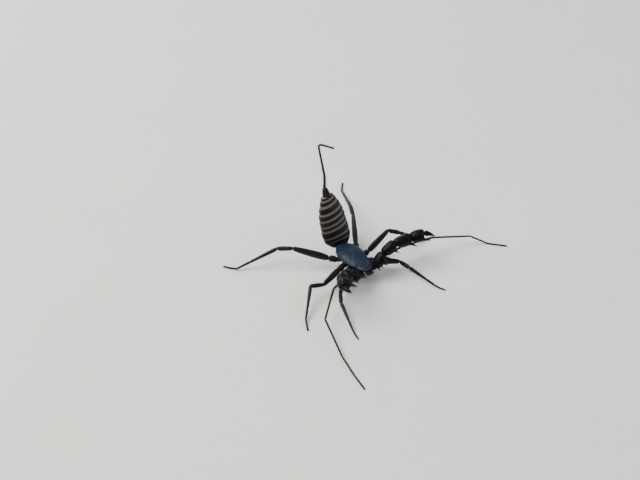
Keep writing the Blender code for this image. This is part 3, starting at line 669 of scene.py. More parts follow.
abdomen = {
    "root": (0.45, 7.3, 4.55),
    "yaw": ((0.0, 168.0), (4.5, 183.0), (9.0, 190.5), (20.0, 192.5)),
    "pitch": ((0.0, 14.0), (2.0, 44.0), (4.8, 66.0), (8.0, 72.0), (20.0, 74.0)),
    "lengths": (2.05, 2.15, 2.85, 1.7, 2.0, 2.0, 2.35, 1.6, 1.0),
    "halfWidth": ((0.0, 1.6), (0.9, 2.9), (2.2, 4.15), (4.2, 4.75), (7.5, 4.85), (11.0, 4.65),
                  (13.8, 3.9), (16.2, 2.85), (17.7, 2.0)),
    "depthShare": 0.55,
    # bare skin behind each plate, in mm
    "stripes": (0.5, 0.8, 0.95, 0.85, 0.85, 0.85, 0.8, 0.6, 0.3),
    # from and to in degrees around the ring, 90 being the middle of the back, and points across
    "backSpan": (-6, 186, 110), "bellySpan": (202, 338, 70),
    "hindEdge": (0.03, 0.93, 0.06),          # height, place and width as shares of the plate
    "pits": (0.05, 0.45, 27, 9),             # depth, place, and degrees from the middle and across
    "backLine": (0.035, 2.2),                # depth and width in degrees, on the first three plates
    "plateThickness": 0.1, "skinShare": 0.955,
    "edgeRound": 0.09, "thinEdge": 0.16,     # width of the rounded edge and of its paler border
    "surface": ((0.26, 0.018), (0.8, 0.02)),
    "tailLength": 2.4,
    "tail": ((0.0, 1.14), (0.3, 1.11), (0.36, 1.03), (0.62, 1.03), (0.68, 0.94), (1.0, 0.85)),
    "tailJoints": (0.33, 0.65),
}


def makeAxis(start, length, directionAt, step=0.05):
    # points and directions along a curved axis, every step millimetres
    count = int(math.ceil(length / step)) + 1
    points, directions = [np.array(start, float)], [directionAt(0.0)]
    for k in range(1, count):
        points.append(points[-1] + directionAt((k - 0.5) * step) * step)
        directions.append(directionAt(k * step))
    points, directions = np.array(points), np.array(directions)

    def at(place):
        k = min(int(place / step), count - 2)
        t = place / step - k
        point, way = (rows[k] * (1 - t) + rows[k + 1] * t for rows in (points, directions))
        return point, unit(way)
    return at


abdomenLength = sum(abdomen["lengths"])
abdomenEnds = np.cumsum((0.0,) + abdomen["lengths"])
abdomenAt = makeAxis(abdomen["root"], abdomenLength + abdomen["tailLength"] + 0.1,
                     lambda at: heading(curveAt(abdomen["yaw"], at), curveAt(abdomen["pitch"], at)))


def abdomenRing(place, angles):
    centre, along = abdomenAt(place)
    halfWidth = curveAt(abdomen["halfWidth"], place)
    return ringAt(centre, along, halfWidth, halfWidth * abdomen["depthShare"], along, angles)


def plateSpan(k):
    # where plate k starts and ends along the axis
    stripes = (0.16,) + abdomen["stripes"]
    start = abdomenEnds[k] + (stripes[k] / 2 if k else 0.1)
    end = abdomenEnds[k + 1] - stripes[k + 1] / 2
    return start, end


# soft skin of the whole trunk, one tube from under the carapace to the tail end
trunkSkin = {
    "underCarapace": (0.16, 0.98),           # shares of its length where the skin runs under it
    "widthShare": 0.78, "belly": 2.95,       # share of the carapace's half width, belly's height
    "step": 0.055,                           # from ring to ring behind the carapace
    "folds": 3, "foldHeight": 0.012,         # on the bare skin at each edge of a plate
    "pleats": 90, "pleatHeight": 0.012,      # around the body, on its sides only
    "rollHeight": 0.02,
    "endShare": 0.48,                        # size behind the last plate
}


def makeTrunkSkin():
    angles = around(160)
    sag = np.abs(np.cos(angles)) ** 6
    back = -forward
    rings, crest = [], []
    for share in np.linspace(*trunkSkin["underCarapace"], 40):
        halfWidth = curveAt(carapace["halfWidth"], share) * trunkSkin["widthShare"]
        top = curveAt(carapace["rim"], share) + 0.2
        low = trunkSkin["belly"] + max(0.0, 0.3 - share) * 6
        centre = np.array((0.0, shieldFront + share * shieldLength, (top + low) / 2))
        rings.append(ringAt(centre, back, halfWidth, (top - low) / 2, back, angles, 0.85))
        crest.append(np.zeros(len(angles)))
    for place in np.arange(0.05, abdomenLength + 0.6, trunkSkin["step"]):
        k = min(int(np.searchsorted(abdomenEnds, place, side="right")), len(abdomen["lengths"])) - 1
        start, end = plateSpan(k)
        bare = max(start - place, place - end, 0.0)
        stripe = abdomen["stripes"][k if place > end else max(k - 1, 0)]
        fold = math.cos(math.pi * min(1.0, bare / max(stripe / 2, 0.1)) * trunkSkin["folds"])
        lift = smoothStep(bare, 0.0, 0.15) * (0.02 + trunkSkin["foldHeight"] * fold)
        pleat = np.sin(angles * trunkSkin["pleats"] + 3 * np.sin(place * 2)) * trunkSkin["pleatHeight"]
        roll = np.cos(place * 9) * trunkSkin["rollHeight"]
        # beyond the last plate the skin closes in on the tail end
        ending = smoothStep(place, abdomenLength - 0.3, abdomenLength + 0.04)
        closing = 1 - (1 - trunkSkin["endShare"]) * ending
        scale = (abdomen["skinShare"] + lift + (pleat + roll) * sag) * closing
        rings.append(shrunk(abdomenRing(place, angles), scale[:, None]))
        crest.append(np.clip(0.62 + 0.3 * fold * smoothStep(bare, 0.05, 0.3) - 0.35 * sag, 0, 1))
    shape = Shape()
    shape.addTube(np.array(rings), soft=1.0, tone=np.array(crest))
    makePiece("trunkSkin", shape, skinMaterial, sharpAngle=80)
    print("trunk skin made")


def plateForm(k, share, angle):
    # small form on one plate: paired muscle pits, a faint middle line and the raised hind edge
    edgeHeight, edgeAt, edgeWidth = abdomen["hindEdge"]
    height = edgeHeight * bump(share - edgeAt, edgeWidth)
    depth, pitAt, turn, pitWidth = abdomen["pits"]
    for direction in (-1, 1):
        distance = np.hypot(share - pitAt, (angle - 90 - direction * turn) / pitWidth)
        height = height - depth * bump(distance, 0.45)
    depth, width = abdomen["backLine"]
    return height - (depth * bump((angle - 90) / width, 1.0) if k < 3 else 0.0)


def makeAbdomen():
    thickness = abdomen["plateThickness"]
    surfaces = []
    for k in range(len(abdomen["lengths"])):
        start, end = plateSpan(k)
        shape = Shape()
        for low, high, columns in (abdomen["backSpan"], abdomen["bellySpan"]):
            isBack = low < 90
            degrees = np.linspace(low, high, columns)
            shares = np.linspace(0, 1, 22)
            outer, inner = [], []
            for share in shares:
                # the plate narrows a little towards its ends, with rounded corners
                corner = 7 * abs(2 * share - 1) ** 6
                squeezed = low + corner + (degrees - low) * (high - low - 2 * corner) / (high - low)
                place = start + (end - start) * share
                centre, _ = abdomenAt(place)
                outer.append(abdomenRing(place, np.radians(squeezed)))
                inner.append(centre + (outer[-1] - centre) * 0.9)
            outer, inner = np.array(outer), np.array(inner)
            fromEnds = np.minimum(shares, 1 - shares)[:, None] * (end - start)
            fromSides = np.minimum(degrees - low, high - degrees)[None, :] * 0.06
            fromEdge = np.minimum(fromEnds, fromSides)
            rounding = np.sqrt(np.clip(fromEdge / abdomen["edgeRound"], 0, 1))
            height = relief(outer, abdomen["surface"], (k * 3.1, k))
            height = height + (plateForm(k, shares[:, None], degrees[None, :]) if isBack else 0)
            height = (height + thickness * 0.5) * rounding - thickness * (1 - rounding)
            outer = swell(outer, height, closed=False)
            shape.addPlate(outer, inner, np.clip(1 - fromEdge / abdomen["thinEdge"], 0, 1) * 0.9)
            surfaces.append((outer, isBack))
        makePiece(f"abdomenPlates{k + 1}", shape, shells["plate"], [f"abdomen_{k + 1}"], 60)
    print("abdomen plates made")
    return surfaces


def makeTailEnd():
    grid, tone = [], []
    for share in np.linspace(0.0, 1.0, 74):
        centre, along = abdomenAt(abdomenLength + 0.02 + share * (abdomen["tailLength"] - 0.04))
        fromJoint = min(abs(share - joint) for joint in abdomen["tailJoints"])
        radius = curveAt(abdomen["tail"], share) * (1 - 0.1 * bump(fromJoint, 0.018))
        radius *= 1 - 0.3 * max(0.0, (share - 0.93) / 0.07) ** 2
        grid.append(ringAt(centre, along, radius, radius, along, around(64)))
        tone.append(bump(fromJoint, 0.04))
    grid = np.array(grid)
    grid = swell(grid, grains(grid, 0.24, 5.0) * 0.015)
    shape = Shape()
    shape.addTube(grid, tone=tone)
    makePiece("tailEnd", shape, shells["plate"], ["pygidium"], 60)
    print("tail end made")
    return grid


# whip

whip = {
    "length": 19.6,
    "radius": ((0.0, 0.44), (3.0, 0.37), (19.6, 0.255)),
    "pitch": ((0.0, 74.0), (0.8, 89.0), (3.8, 89.0), (5.3, 74.0), (19.6, 74.0)),
    "curlStart": 13.7, "curlLength": 2.2, "curlYaw": 53.0, "curlPitch": -20.0,
    "ringLength": ((0.0, 0.3), (3.0, 0.45), (19.6, 0.62)),
    "waist": 0.24,                           # depth of the grooves between rings, as a share
    "columns": 20, "perRing": 7,             # points around, and rows of points to a ring
}


def whipDirection(length):
    upright = heading(180, curveAt(whip["pitch"], length))
    over = heading(whip["curlYaw"], whip["curlPitch"])
    curl = smoothStep(length, whip["curlStart"], whip["curlStart"] + whip["curlLength"])
    return unit(upright * (1 - curl) + over * curl)


def ringedTube(at, length, radius, ringLength, waist, columns, perRing):
    # tube of many short rings, each narrowed at both ends and a little wider at the far one;
    # radius and ringLength are tables along it
    grid, tone = [], []
    inset = 0.02
    end = length - inset
    place = inset
    across = np.array((1.0, 0.0, 0.0))
    while place < end:
        step = min(curveAt(ringLength, place), end - place)
        if end - (place + step) < step * 0.4:
            step = end - place
        for share in np.linspace(0, 0.98, perRing):
            profile = 1 - waist * (1 - math.sin(math.pi * min(1.0, 0.12 + 0.83 * share)) ** 0.5)
            here = place + step * share
            centre, along = at(min(here, length - 1e-6))
            across = unit(across - along * (across @ along))
            size = curveAt(radius, here) * profile * (0.96 + 0.08 * share)
            grid.append(circleAt(centre, size, across, np.cross(across, along), around(columns)))
            tone.append(1 - min(1.0, 4 * min(share, 1 - share)))
        place += step
    return np.array(grid), np.array(tone)


def makeWhip():
    root, _ = abdomenAt(abdomenLength + abdomen["tailLength"])
    at = makeAxis(root, whip["length"] + 0.1, whipDirection)
    grid, tone = ringedTube(at, whip["length"], whip["radius"], whip["ringLength"], whip["waist"],
                            whip["columns"], whip["perRing"])
    grid[-4:] = shrunk(grid[-4:], np.reshape((0.95, 0.85, 0.65, 0.35), (4, 1, 1)))
    shape = Shape()
    shape.addTube(grid, tone=tone * 0.8)
    makePiece("whip", shape, shells["whip"], ["whip_base", "whip_middle", "whip_tip"], 80)
    print("whip made with", len(grid) // whip["perRing"], "rings")
    return grid


# limbs

limb = {
    "gap": 0.05,                             # left free at each end of a segment
    "bendReach": 0.4,                        # share of it over which its rings turn to the joint
    "endRound": 0.22, "endSize": 0.62,       # length of its rounded ends and their smallest size
    "collar": 0.3, "collarSize": 0.8,        # half length, and size as a share of the segment's
}


def cutNormal(path, k):
    # direction of the limb at joint k, midway between the segments that meet there
    ways = [unit(path[j + 1] - path[j]) for j in (k - 1, k) if 0 <= j < len(path) - 1]
    return unit(sum(ways))


def segmentGrid(path, k, profile, side, stations=40, columns=28, bulk=1.0, startCut=None):
    # one segment of a limb, closed in at both ends, with a slight flare just before its far joint
    start, end = path[k], path[k + 1]
    length = np.linalg.norm(end - start)
    along = (end - start) / length
    entry = cutNormal(path, k) if startCut is None else startCut
    leave = cutNormal(path, k + 1)
    even = np.linspace(0, 1, stations)
    gap, reach = limb["gap"], limb["bendReach"]
    places = gap + (length - 2 * gap) * (0.25 * (1 - np.cos(math.pi * even)) + 0.5 * even)
    shares = places / length
    fromEnd = np.minimum(places - gap, length - gap - places)
    near = np.clip(fromEnd / min(limb["endRound"], length * 0.2), 0, 1)
    size = limb["endSize"] + (1 - limb["endSize"]) * np.sqrt(1 - (1 - near) ** 2)
    size = size * (1 + 0.05 * bump(length - places - gap - 0.3, 0.22))
    halfWidth, halfHeight = (curveAt(profile, shares, c) * bulk * size for c in (1, 2))
    shift = np.outer(curveAt(profile, shares, 3), unit(np.cross(along, up)) * side)
    grid = []
    for m, share in enumerate(shares):
        cut = along + (entry - along) * max(0.0, 1 - share / reach)
        cut = unit(cut + (leave - cut) * max(0.0, 1 - (1 - share) / reach))
        centre = start + along * places[m] + shift[m]
        grid.append(ringAt(centre, along, halfWidth[m], halfHeight[m], cut, around(columns)))
    return np.array(grid), np.clip(1 - fromEnd / 0.45, 0, 1) ** 1.5


def collarGrid(path, k, sizeBefore, sizeAfter, inWay=None):
    # ring of soft skin that links two segments at joint k
    before = unit(path[k] - path[k - 1]) if inWay is None else inWay
    after = unit(path[k + 1] - path[k])
    mitre = unit(before + after)
    grid = []
    for place in (-1.0, -0.55, -0.2, 0.0, 0.2, 0.55, 1.0):
        far = abs(place)
        along, size = (before, sizeBefore) if place < 0 else (after, sizeAfter)
        width, height = np.array(size) * limb["collarSize"] * (1 - 0.1 * (1 - far))
        cut = unit(mitre * (1 - far) + along * far)
        way = unit(before * (1 - place) + after * (1 + place)) if far < 0.3 else along
        centre = path[k] + along * place * limb["collar"]
        grid.append(ringAt(centre, way, width, height, cut if way @ cut > 0.3 else way, around(20)))
    return np.array(grid)


def endSize(profile, atEnd, bulk=1.0):
    return np.array(profile[-1 if atEnd else 0][1:3]) * bulk


# pincer arms

palp = {
    "names": ("coxa", "trochanter", "femur", "patella", "hand", "finger"),
    "coxaStart": (1.2, -4.05, 3.75), "hip": (3.0, -5.8, 4.7),   # both ends of the coxa
    # length, yaw and pitch of the segments from the trochanter to the finger
    "lengths": (4.5, 4.6, 5.2, 4.4, 3.2),
    "pose": {"L": ((96, 42), (86, 26), (76, 5), (67, 10), (48, -1)),
             "R": ((84, 36), (68, 35), (46, 30), (28, 18), (13, 7))},
    # share along the segment, half width, half height, shift to the inner side
    "profiles": (
        ((0.0, 0.75, 0.55, 0.0), (0.35, 1.05, 0.78, 0.0),
         (0.7, 1.15, 0.85, 0.0), (1.0, 0.95, 0.88, 0.0)),
        ((0.0, 0.98, 1.0, 0.0), (0.2, 1.5, 1.4, 0.1), (0.5, 1.9, 1.6, 0.25),
         (0.8, 1.8, 1.58, 0.2), (1.0, 1.15, 1.2, 0.0)),
        ((0.0, 1.1, 1.15, 0.0), (0.2, 1.55, 1.55, 0.0), (0.55, 1.8, 1.75, 0.05),
         (0.85, 1.62, 1.62, 0.0), (1.0, 1.1, 1.15, 0.0)),
        ((0.0, 1.08, 1.12, 0.0), (0.2, 1.5, 1.5, 0.0), (0.6, 1.8, 1.7, 0.05),
         (0.88, 1.8, 1.68, 0.1), (1.0, 1.25, 1.25, 0.05)),
        ((0.0, 1.2, 1.2, 0.05), (0.18, 1.7, 1.55, 0.05), (0.5, 1.95, 1.75, 0.1),
         (0.82, 1.75, 1.5, 0.1), (1.0, 0.88, 0.88, -0.15)),
        ((0.0, 0.74, 0.78, -0.15), (0.2, 0.82, 0.78, -0.12),
         (0.5, 0.62, 0.6, 0.0), (0.8, 0.36, 0.35, 0.22)),
    ),
    # share along the segment, height as a share of the half height, length, radius at the root,
    # and lean towards the hand
    "spines": {
        "trochanter": ((0.06, 0.2, 1.9, 0.36, -0.35), (0.27, 0.35, 2.3, 0.39, -0.15),
                       (0.48, 0.4, 2.5, 0.4, 0.0), (0.69, 0.35, 2.3, 0.39, 0.15),
                       (0.9, 0.25, 1.8, 0.35, 0.3), (0.5, -0.7, 1.4, 0.34, 0.0)),
        "femur": ((0.24, 0.3, 1.5, 0.33, 0.0), (0.5, 0.4, 1.9, 0.37, 0.1), (0.7, -0.5, 1.8, 0.37, 0.2)),
        "patella": ((0.74, 0.0, 3.1, 0.6, 0.5), (0.4, 0.1, 0.8, 0.27, 0.2)),
        "hand": ((0.72, 0.0, 2.5, 0.58, 0.95), (0.42, 0.0, 0.85, 0.29, 0.3)),
    },
    "spineSink": 0.9, "spineSweep": 0.12, "spineRise": 0.6,
    "hook": 0.55,                            # how far the finger's tip bends inwards
    "mouthPoint": {"at": 0.55, "shift": (0.75, 0.2, 0.2), "length": 2.3, "radius": 0.42},
    "surface": ((0.34, 0.035), (0.9, 0.05)),
    "ridge": (0.05, 0.12),                   # height and width, along the upper and lower edge
    "hairs": (130, 0.5, 0.014),              # how many on a segment, length and radius
    "coxaHairs": 60,
}


def palpPath(letter):
    side = sides[letter]
    path = [mirrored(palp["coxaStart"], side), mirrored(palp["hip"], side)]
    for length, (yaw, pitch) in zip(palp["lengths"], palp["pose"][letter]):
        path.append(path[-1] + heading(yaw, pitch, side) * length)
    return path


def addPalpSpines(shape, name, profile, start, end, side):
    along = unit(end - start)
    spined = unit(np.cross(along, up)) * side
    above = np.cross(spined, along) * side
    for share, height, length, radius, lean in palp["spines"].get(name, ()):
        halfWidth, halfHeight, shift = (curveAt(profile, share, k) for k in (1, 2, 3))
        inset = (math.sqrt(1 - height ** 2) * halfWidth + shift) * palp["spineSink"]
        root = start + (end - start) * share + spined * inset + above * halfHeight * height
        way = unit(spined + along * lean + above * height * palp["spineRise"])
        bend = along * palp["spineSweep"] * length
        isLong = radius > 0.4
        shape.addSpine(root, way, length, radius, bend, 12, 16 if isLong else 12, 0.7)
        # the long outgrowths carry a row of small teeth on each edge
        for place in np.arange(0.2, 0.8, 0.14) if isLong else ():
            base = root + way * length * place + bend * place ** 2
            for edge in (-along, along):
                toothRoot = base + edge * radius * (1.0 - place) * 0.8
                shape.addSpine(toothRoot, unit(edge + way * 0.4), 0.24, 0.085, rings=5, columns=7)


def makePalps(coat):
    ridgeHeight, ridgeWidth = palp["ridge"]
    count, hairLength, hairRadius = palp["hairs"]
    for letter, side in sides.items():
        path = palpPath(letter)
        for k, name in enumerate(palp["names"]):
            profile = palp["profiles"][k]
            start, end = path[k], path[k + 1]
            inward = unit(np.cross(end - start, up)) * side
            isFinger = name == "finger"
            grid, tone = segmentGrid(path, k, profile, side, 54, 52)
            if isFinger:
                # the finger narrows to a hooked point
                t = np.linspace(0, 1, 54) ** 1.6
                taper = 1 - 0.96 * smoothStep(t, 0.45, 1.0)
                hook = np.outer(t ** 2 * palp["hook"], inward)
                grid = shrunk(grid, taper[:, None, None]) + hook[:, None, :]
                tone = np.maximum(tone * 0.4, t * 0.8)
            ridge = ridgeHeight * bump(np.abs(np.sin(around(52))) - 1, ridgeWidth)
            height = relief(grid, palp["surface"], (k * 2.7 + side, k)) + ridge
            grid = swell(grid, height * (0.4 if isFinger else 1.0) * (1 - tone[:, None]))
            shape = Shape()
            shape.addTube(grid, tone=tone)
            if k:
                before = endSize(palp["profiles"][k - 1], True)
                shape.addTube(collarGrid(path, k, before, endSize(profile, False)), soft=1.0)
            addPalpSpines(shape, name, profile, start, end, side)
            if name == "coxa":
                point = palp["mouthPoint"]
                root = start + (end - start) * point["at"] - mirrored(point["shift"], side)
                shape.addSpine(root, forward, point["length"], point["radius"], (0, 0, 0), 14, 18, 0.4)
            for row in range(12, 42, 5) if isFinger else ():
                edge = grid[row][np.argmax(grid[row] @ inward)]
                shape.addSpine(edge, inward, 0.2, 0.08, rings=5, columns=7)
            piece = f"palp{letter}{name.capitalize()}"
            makePiece(piece, shape, shells["palp"], [f"palp_{letter}_{name}"], 60)
            coat.cover(grid, count if k else palp["coxaHairs"], hairLength, hairRadius, 0.8)
        print("pincer arm made:", letter)


# chelicerae

chelicera = {
    "start": (0.5, -4.6, 4.62), "end": (0.5, -7.5, 4.6),
    "profile": ((0.0, 0.34, 0.42), (0.35, 0.4, 0.5), (0.8, 0.42, 0.52), (1.0, 0.28, 0.34)),
    "fang": {"at": 0.88, "depth": 0.2, "pitch": -55, "length": 0.95, "radius": 0.2,
             "bend": (0.0, 0.25, -0.05)},
}


def makeChelicerae(coat):
    fang = chelicera["fang"]
    for letter, side in sides.items():
        path = [mirrored(chelicera[end], side) for end in ("start", "end")]
        grid, _ = segmentGrid(path, 0, chelicera["profile"], side, 36, 28)
        shape = Shape()
        shape.addTube(grid)
        root = path[0] + (path[1] - path[0]) * fang["at"] - up * fang["depth"]
        way = heading(0, fang["pitch"])
        shape.addSpine(root, way, fang["length"], fang["radius"], fang["bend"], 12, 14, 1.0)
        makePiece(f"chelicera{letter}", shape, shells["jaw"], [f"chelicera_{letter}"])
        coat.cover(grid, 260, 0.55, 0.013, 1.0, rows=(0.6, 0.99))
    print("chelicerae made")


# walking legs

leg = {
    "hips": {1: (3.1, -3.55, 4.0), 2: (3.6, -1.6, 3.6), 3: (3.75, 1.0, 3.6), 4: (3.7, 4.0, 3.8)},
    "coxaStarts": {1: (0.8, -1.1, 3.45), 2: (0.6, 0.1, 3.35), 3: (0.6, 1.7, 3.35), 4: (0.7, 3.3, 3.4)},
    "coxaProfile": ((0.0, 0.6, 0.5), (0.45, 0.9, 0.76), (0.85, 0.9, 0.8), (1.0, 0.7, 0.7)),
    # lengths of trochanter, femur, patella, tibia, basitarsus and tarsus
    "lengths": {2: (2.0, 7.7, 3.7, 6.3, 2.9, 3.4), 3: (2.2, 8.6, 3.9, 7.2, 3.3, 3.7),
                4: (2.6, 11.2, 4.8, 9.2, 4.6, 4.4)},
    # femur yaw and lift, patella yaw and lift, shank yaw and tarsus yaw
    "pose": {"R4": (133, 15, 131, -5, 115, 147), "L4": (146, 8, 153, -1, 154, 138),
             "R3": (70, 6, 115, 2, 45, 27), "L3": (88, 32, 58, -18, 82, 78),
             "R2": (53, -1, 34, -4, 16, 10), "L2": (53, -4, 12, -3, 17, 26)},
    "bulk": {1: 1.0, 2: 0.92, 3: 0.95, 4: 1.0},   # thickness beside the hind legs'
    "ankle": 0.75,                           # its height over the floor
    "soleStart": 0.55,                       # share of the tarsus that slopes down to the sole
    "profiles": (
        ((0.0, 0.62, 0.64), (0.25, 0.9, 0.98), (0.75, 0.9, 1.0), (1.0, 0.6, 0.74)),
        ((0.0, 0.6, 0.76), (0.08, 0.76, 1.05), (0.3, 0.88, 1.28), (0.65, 0.78, 1.12),
         (0.93, 0.64, 0.82), (1.0, 0.48, 0.56)),
        ((0.0, 0.47, 0.52), (0.2, 0.63, 0.7), (0.8, 0.66, 0.74), (1.0, 0.5, 0.54)),
        ((0.0, 0.46, 0.5), (0.12, 0.58, 0.64), (0.6, 0.48, 0.52), (1.0, 0.37, 0.39)),
        ((0.0, 0.34, 0.36), (0.15, 0.38, 0.4), (0.9, 0.32, 0.33), (1.0, 0.28, 0.29)),
    ),
    "surface": ((0.24, 0.012), (0.8, 0.025)),
    "keel": (0.035, 0.05),                   # height and width, on top of trochanter and femur
    "hairs": (34, 0.42, 0.011),              # how many to a millimetre, length and radius
    "spurs": {3: 0.62, 4: 0.42},             # length at the end of the tibia and of the basitarsus
    "tarsus": {"joint": 5, "radius": (0.29, 0.265), "articles": 3, "waist": 0.26, "soften": 0.35,
               "columns": 24, "perRing": 16, "tip": 1.0, "hairs": (60, 0.32, 0.009)},
    "soleRadius": 0.29,
    "claw": {"length": 0.75, "radius": 0.12, "spread": 28, "pitch": 14, "droop": 0.28},
}


def stepDown(start, length, yaw, level, side):
    # end of a straight length that comes down to a height over the floor
    pitch = -math.degrees(math.asin((start[2] - level) / length))
    return start + heading(yaw, pitch, side) * length


def floorHeight(halfHeight):
    # height of the axis of an eight-sided foot that rests on a flat
    return halfHeight * math.cos(math.pi / 8)


def legPath(key, number):
    side = sides[key[0]]
    trochanter, femur, patella, tibia, basitarsus, tarsus = leg["lengths"][number]
    femurYaw, lift, patellaYaw, patellaLift, shankYaw, tarsusYaw = leg["pose"][key]
    path = [mirrored(leg["hips"][number], side)]
    for yaw, pitch, length in ((femurYaw, lift / 2, trochanter), (femurYaw, lift, femur),
                               (patellaYaw, patellaLift, patella)):
        path.append(path[-1] + heading(yaw, pitch, side) * length)
    ankle = stepDown(path[-1], tibia + basitarsus, shankYaw, leg["ankle"], side)
    sole = floorHeight(leg["soleRadius"] * leg["bulk"][number])
    path += [path[-1] + (ankle - path[-1]) * tibia / (tibia + basitarsus), ankle]
    path.append(stepDown(ankle, tarsus * leg["soleStart"], tarsusYaw, sole, side))
    path.append(path[-1] + heading(tarsusYaw, 0, side) * tarsus * (1 - leg["soleStart"]))
    return path


def coxaDirection(number, side):
    return unit(mirrored(leg["hips"][number], side) - mirrored(leg["coxaStarts"][number], side))


def bentAxis(points, soften, step=0.04):
    # evenly stepped points along a path whose corners are rounded
    dense = []
    for a, b in zip(points, points[1:]):
        count = max(2, int(np.linalg.norm(b - a) / step))
        dense.extend(a + (b - a) * t for t in np.linspace(0, 1, count, endpoint=False))
    dense = np.array(dense + [points[-1]])
    window = int(soften / step)
    before, after = dense[window:0:-1], dense[-2:-window - 2:-1]
    padded = np.concatenate([dense[:1] * 2 - before, dense, dense[-1:] * 2 - after])
    kernel = np.ones(window * 2 + 1) / (window * 2 + 1)
    smooth = np.stack([np.convolve(padded[:, c], kernel, "valid") for c in range(3)], -1)
    travelled = np.concatenate([[0], np.cumsum(np.linalg.norm(np.diff(smooth, axis=0), axis=1))])

    def at(place):
        k = min(int(np.searchsorted(travelled, place, side="right")) - 1, len(smooth) - 2)
        t = (place - travelled[k]) / (travelled[k + 1] - travelled[k])
        return smooth[k] + (smooth[k + 1] - smooth[k]) * t, unit(smooth[k + 1] - smooth[k])
    return at, travelled[-1]


def addSegment(shape, coat, path, k, number, side, kind, stations, columns, seeds, keel=0.0):
    # one segment of a leg or feeler with its soft collar and its hairs
    profiles, bulk = kind["profiles"], leg["bulk"][number]
    hipWay = None if k else coxaDirection(number, side)
    grid, tone = segmentGrid(path, k, profiles[k], side, stations, columns, bulk, hipWay)
    grid = swell(grid, (relief(grid, kind["surface"], seeds) + keel) * (1 - tone[:, None]))
    shape.addTube(grid, tone=tone)
    before = endSize(profiles[k - 1], True, bulk) if k else endSize(leg["coxaProfile"], True)
    shape.addTube(collarGrid(path, k, before, endSize(profiles[k], False, bulk), hipWay), soft=1.0)
    perMm, length, radius = kind["hairs"]
    coat.cover(grid, int(perMm * np.linalg.norm(path[k + 1] - path[k])), length, radius, 0.8)


def addTarsus(shape, coat, path, kind, bulk=1.0):
    # the ringed last part of a leg or feeler, pressed flat where it meets the floor
    foot = kind["tarsus"]
    joint = foot["joint"]
    at, length = bentAxis(path[joint:], foot["soften"])
    radius = [(place, bulk * size) for place, size in zip((0.0, length), foot["radius"])]
    rings = [(place, length / foot["articles"]) for place in (0.0, length)]
    grid, tone = ringedTube(at, length, radius, rings, foot["waist"], foot["columns"], foot["perRing"])
    grid[:, :, 2] = np.maximum(grid[:, :, 2], 0.0)
    grid[-1] = shrunk(grid[-1], foot["tip"])
    shape.addTube(grid, tone=tone * 0.9)
    before = endSize(kind["profiles"][joint - 1], True, bulk)
    shape.addTube(collarGrid(path, joint, before, (0.26 * bulk, 0.26 * bulk)), soft=1.0)
    perMm, hairLength, hairRadius = foot["hairs"]
    coat.cover(grid, int(perMm * length), hairLength, hairRadius, 0.9)


def makeLeg(key, number, coat):
    side, bulk, claw = sides[key[0]], leg["bulk"][number], leg["claw"]
    keelHeight, keelWidth = leg["keel"]
    path = legPath(key, number)
    for name, segments in (("femur", (0, 1)), ("tibia", (2, 3)), ("tarsus", (4,))):
        shape = Shape()
        for k in segments:
            columns = 36 if k < 3 else 28
            keel = keelHeight * bump(np.sin(around(columns)) - 1, keelWidth) if k < 2 else 0.0
            addSegment(shape, coat, path, k, number, side, leg, 74 if k == 1 else 48, columns,
                       (k + number, k * 1.7), keel)
            # spurs beside the far joint
            along = unit(path[k + 1] - path[k])
            across = unit(np.cross(along, up))
            for edge in (-across, across) if k in leg["spurs"] else ():
                base = path[k + 1] - along * 0.25 + edge * 0.18 - up * 0.12
                way = unit(along + edge * 0.35 - up * 0.45)
                shape.addSpine(base, way, leg["spurs"][k], 0.07, rings=6, columns=8)
        if name == "tarsus":
            addTarsus(shape, coat, path, leg, bulk)
            for turn in (-claw["spread"], 0, claw["spread"]):
                way = heading(leg["pose"][key][5] + turn, claw["pitch"] if turn else -4, side)
                size = 1.0 if turn else 0.45
                shape.addSpine(path[-1] - way * 0.05, way, claw["length"] * size, claw["radius"],
                               (0, 0, -claw["droop"] * size), 9, 9, 0.9)
        piece = f"leg{key}{name.capitalize()}"
        makePiece(piece, shape, shells["leg"], [f"leg_{key}_{name}"], 70)


# feeler legs

feeler = {
    # length, yaw and pitch of the segments; the one without a pitch comes down to the floor
    "lengths": (1.8, 9.2, 10.5, 13.0, 6.5, 6.0),
    "pose": {"L": ((80, 26), (81, 8), (80, -3), (67, -10), (52, None), (42, 0)),
             "R": ((88, 28), (70, 6), (51, -12), (15, -12), (9, None), (8, 0))},
    "profiles": (
        ((0.0, 0.42, 0.44), (0.3, 0.52, 0.55), (0.8, 0.46, 0.5), (1.0, 0.36, 0.38)),
        ((0.0, 0.38, 0.4), (0.06, 0.42, 0.44), (0.4, 0.4, 0.42), (0.95, 0.33, 0.34), (1.0, 0.29, 0.3)),
        ((0.0, 0.29, 0.3), (0.06, 0.34, 0.35), (0.5, 0.31, 0.31), (1.0, 0.29, 0.29)),
        ((0.0, 0.28, 0.28), (0.05, 0.31, 0.31), (0.5, 0.29, 0.29), (1.0, 0.27, 0.27)),
    ),
    "surface": ((0.2, 0.01), (0.7, 0.015)),
    "hairs": (50, 0.3, 0.008),
    "tarsus": {"joint": 4, "radius": (0.27, 0.25), "articles": 9, "waist": 0.22, "soften": 0.8,
               "columns": 20, "perRing": 14, "tip": 0.5, "hairs": (90, 0.26, 0.007)},
    "soleRadius": 0.26,
}


def feelerPath(letter):
    side = sides[letter]
    level = floorHeight(feeler["soleRadius"])
    path = [mirrored(leg["hips"][1], side)]
    for length, (yaw, pitch) in zip(feeler["lengths"], feeler["pose"][letter]):
        if pitch is None:
            path.append(stepDown(path[-1], length, yaw, level, side))
        else:
            path.append(path[-1] + heading(yaw, pitch, side) * length)
    return path


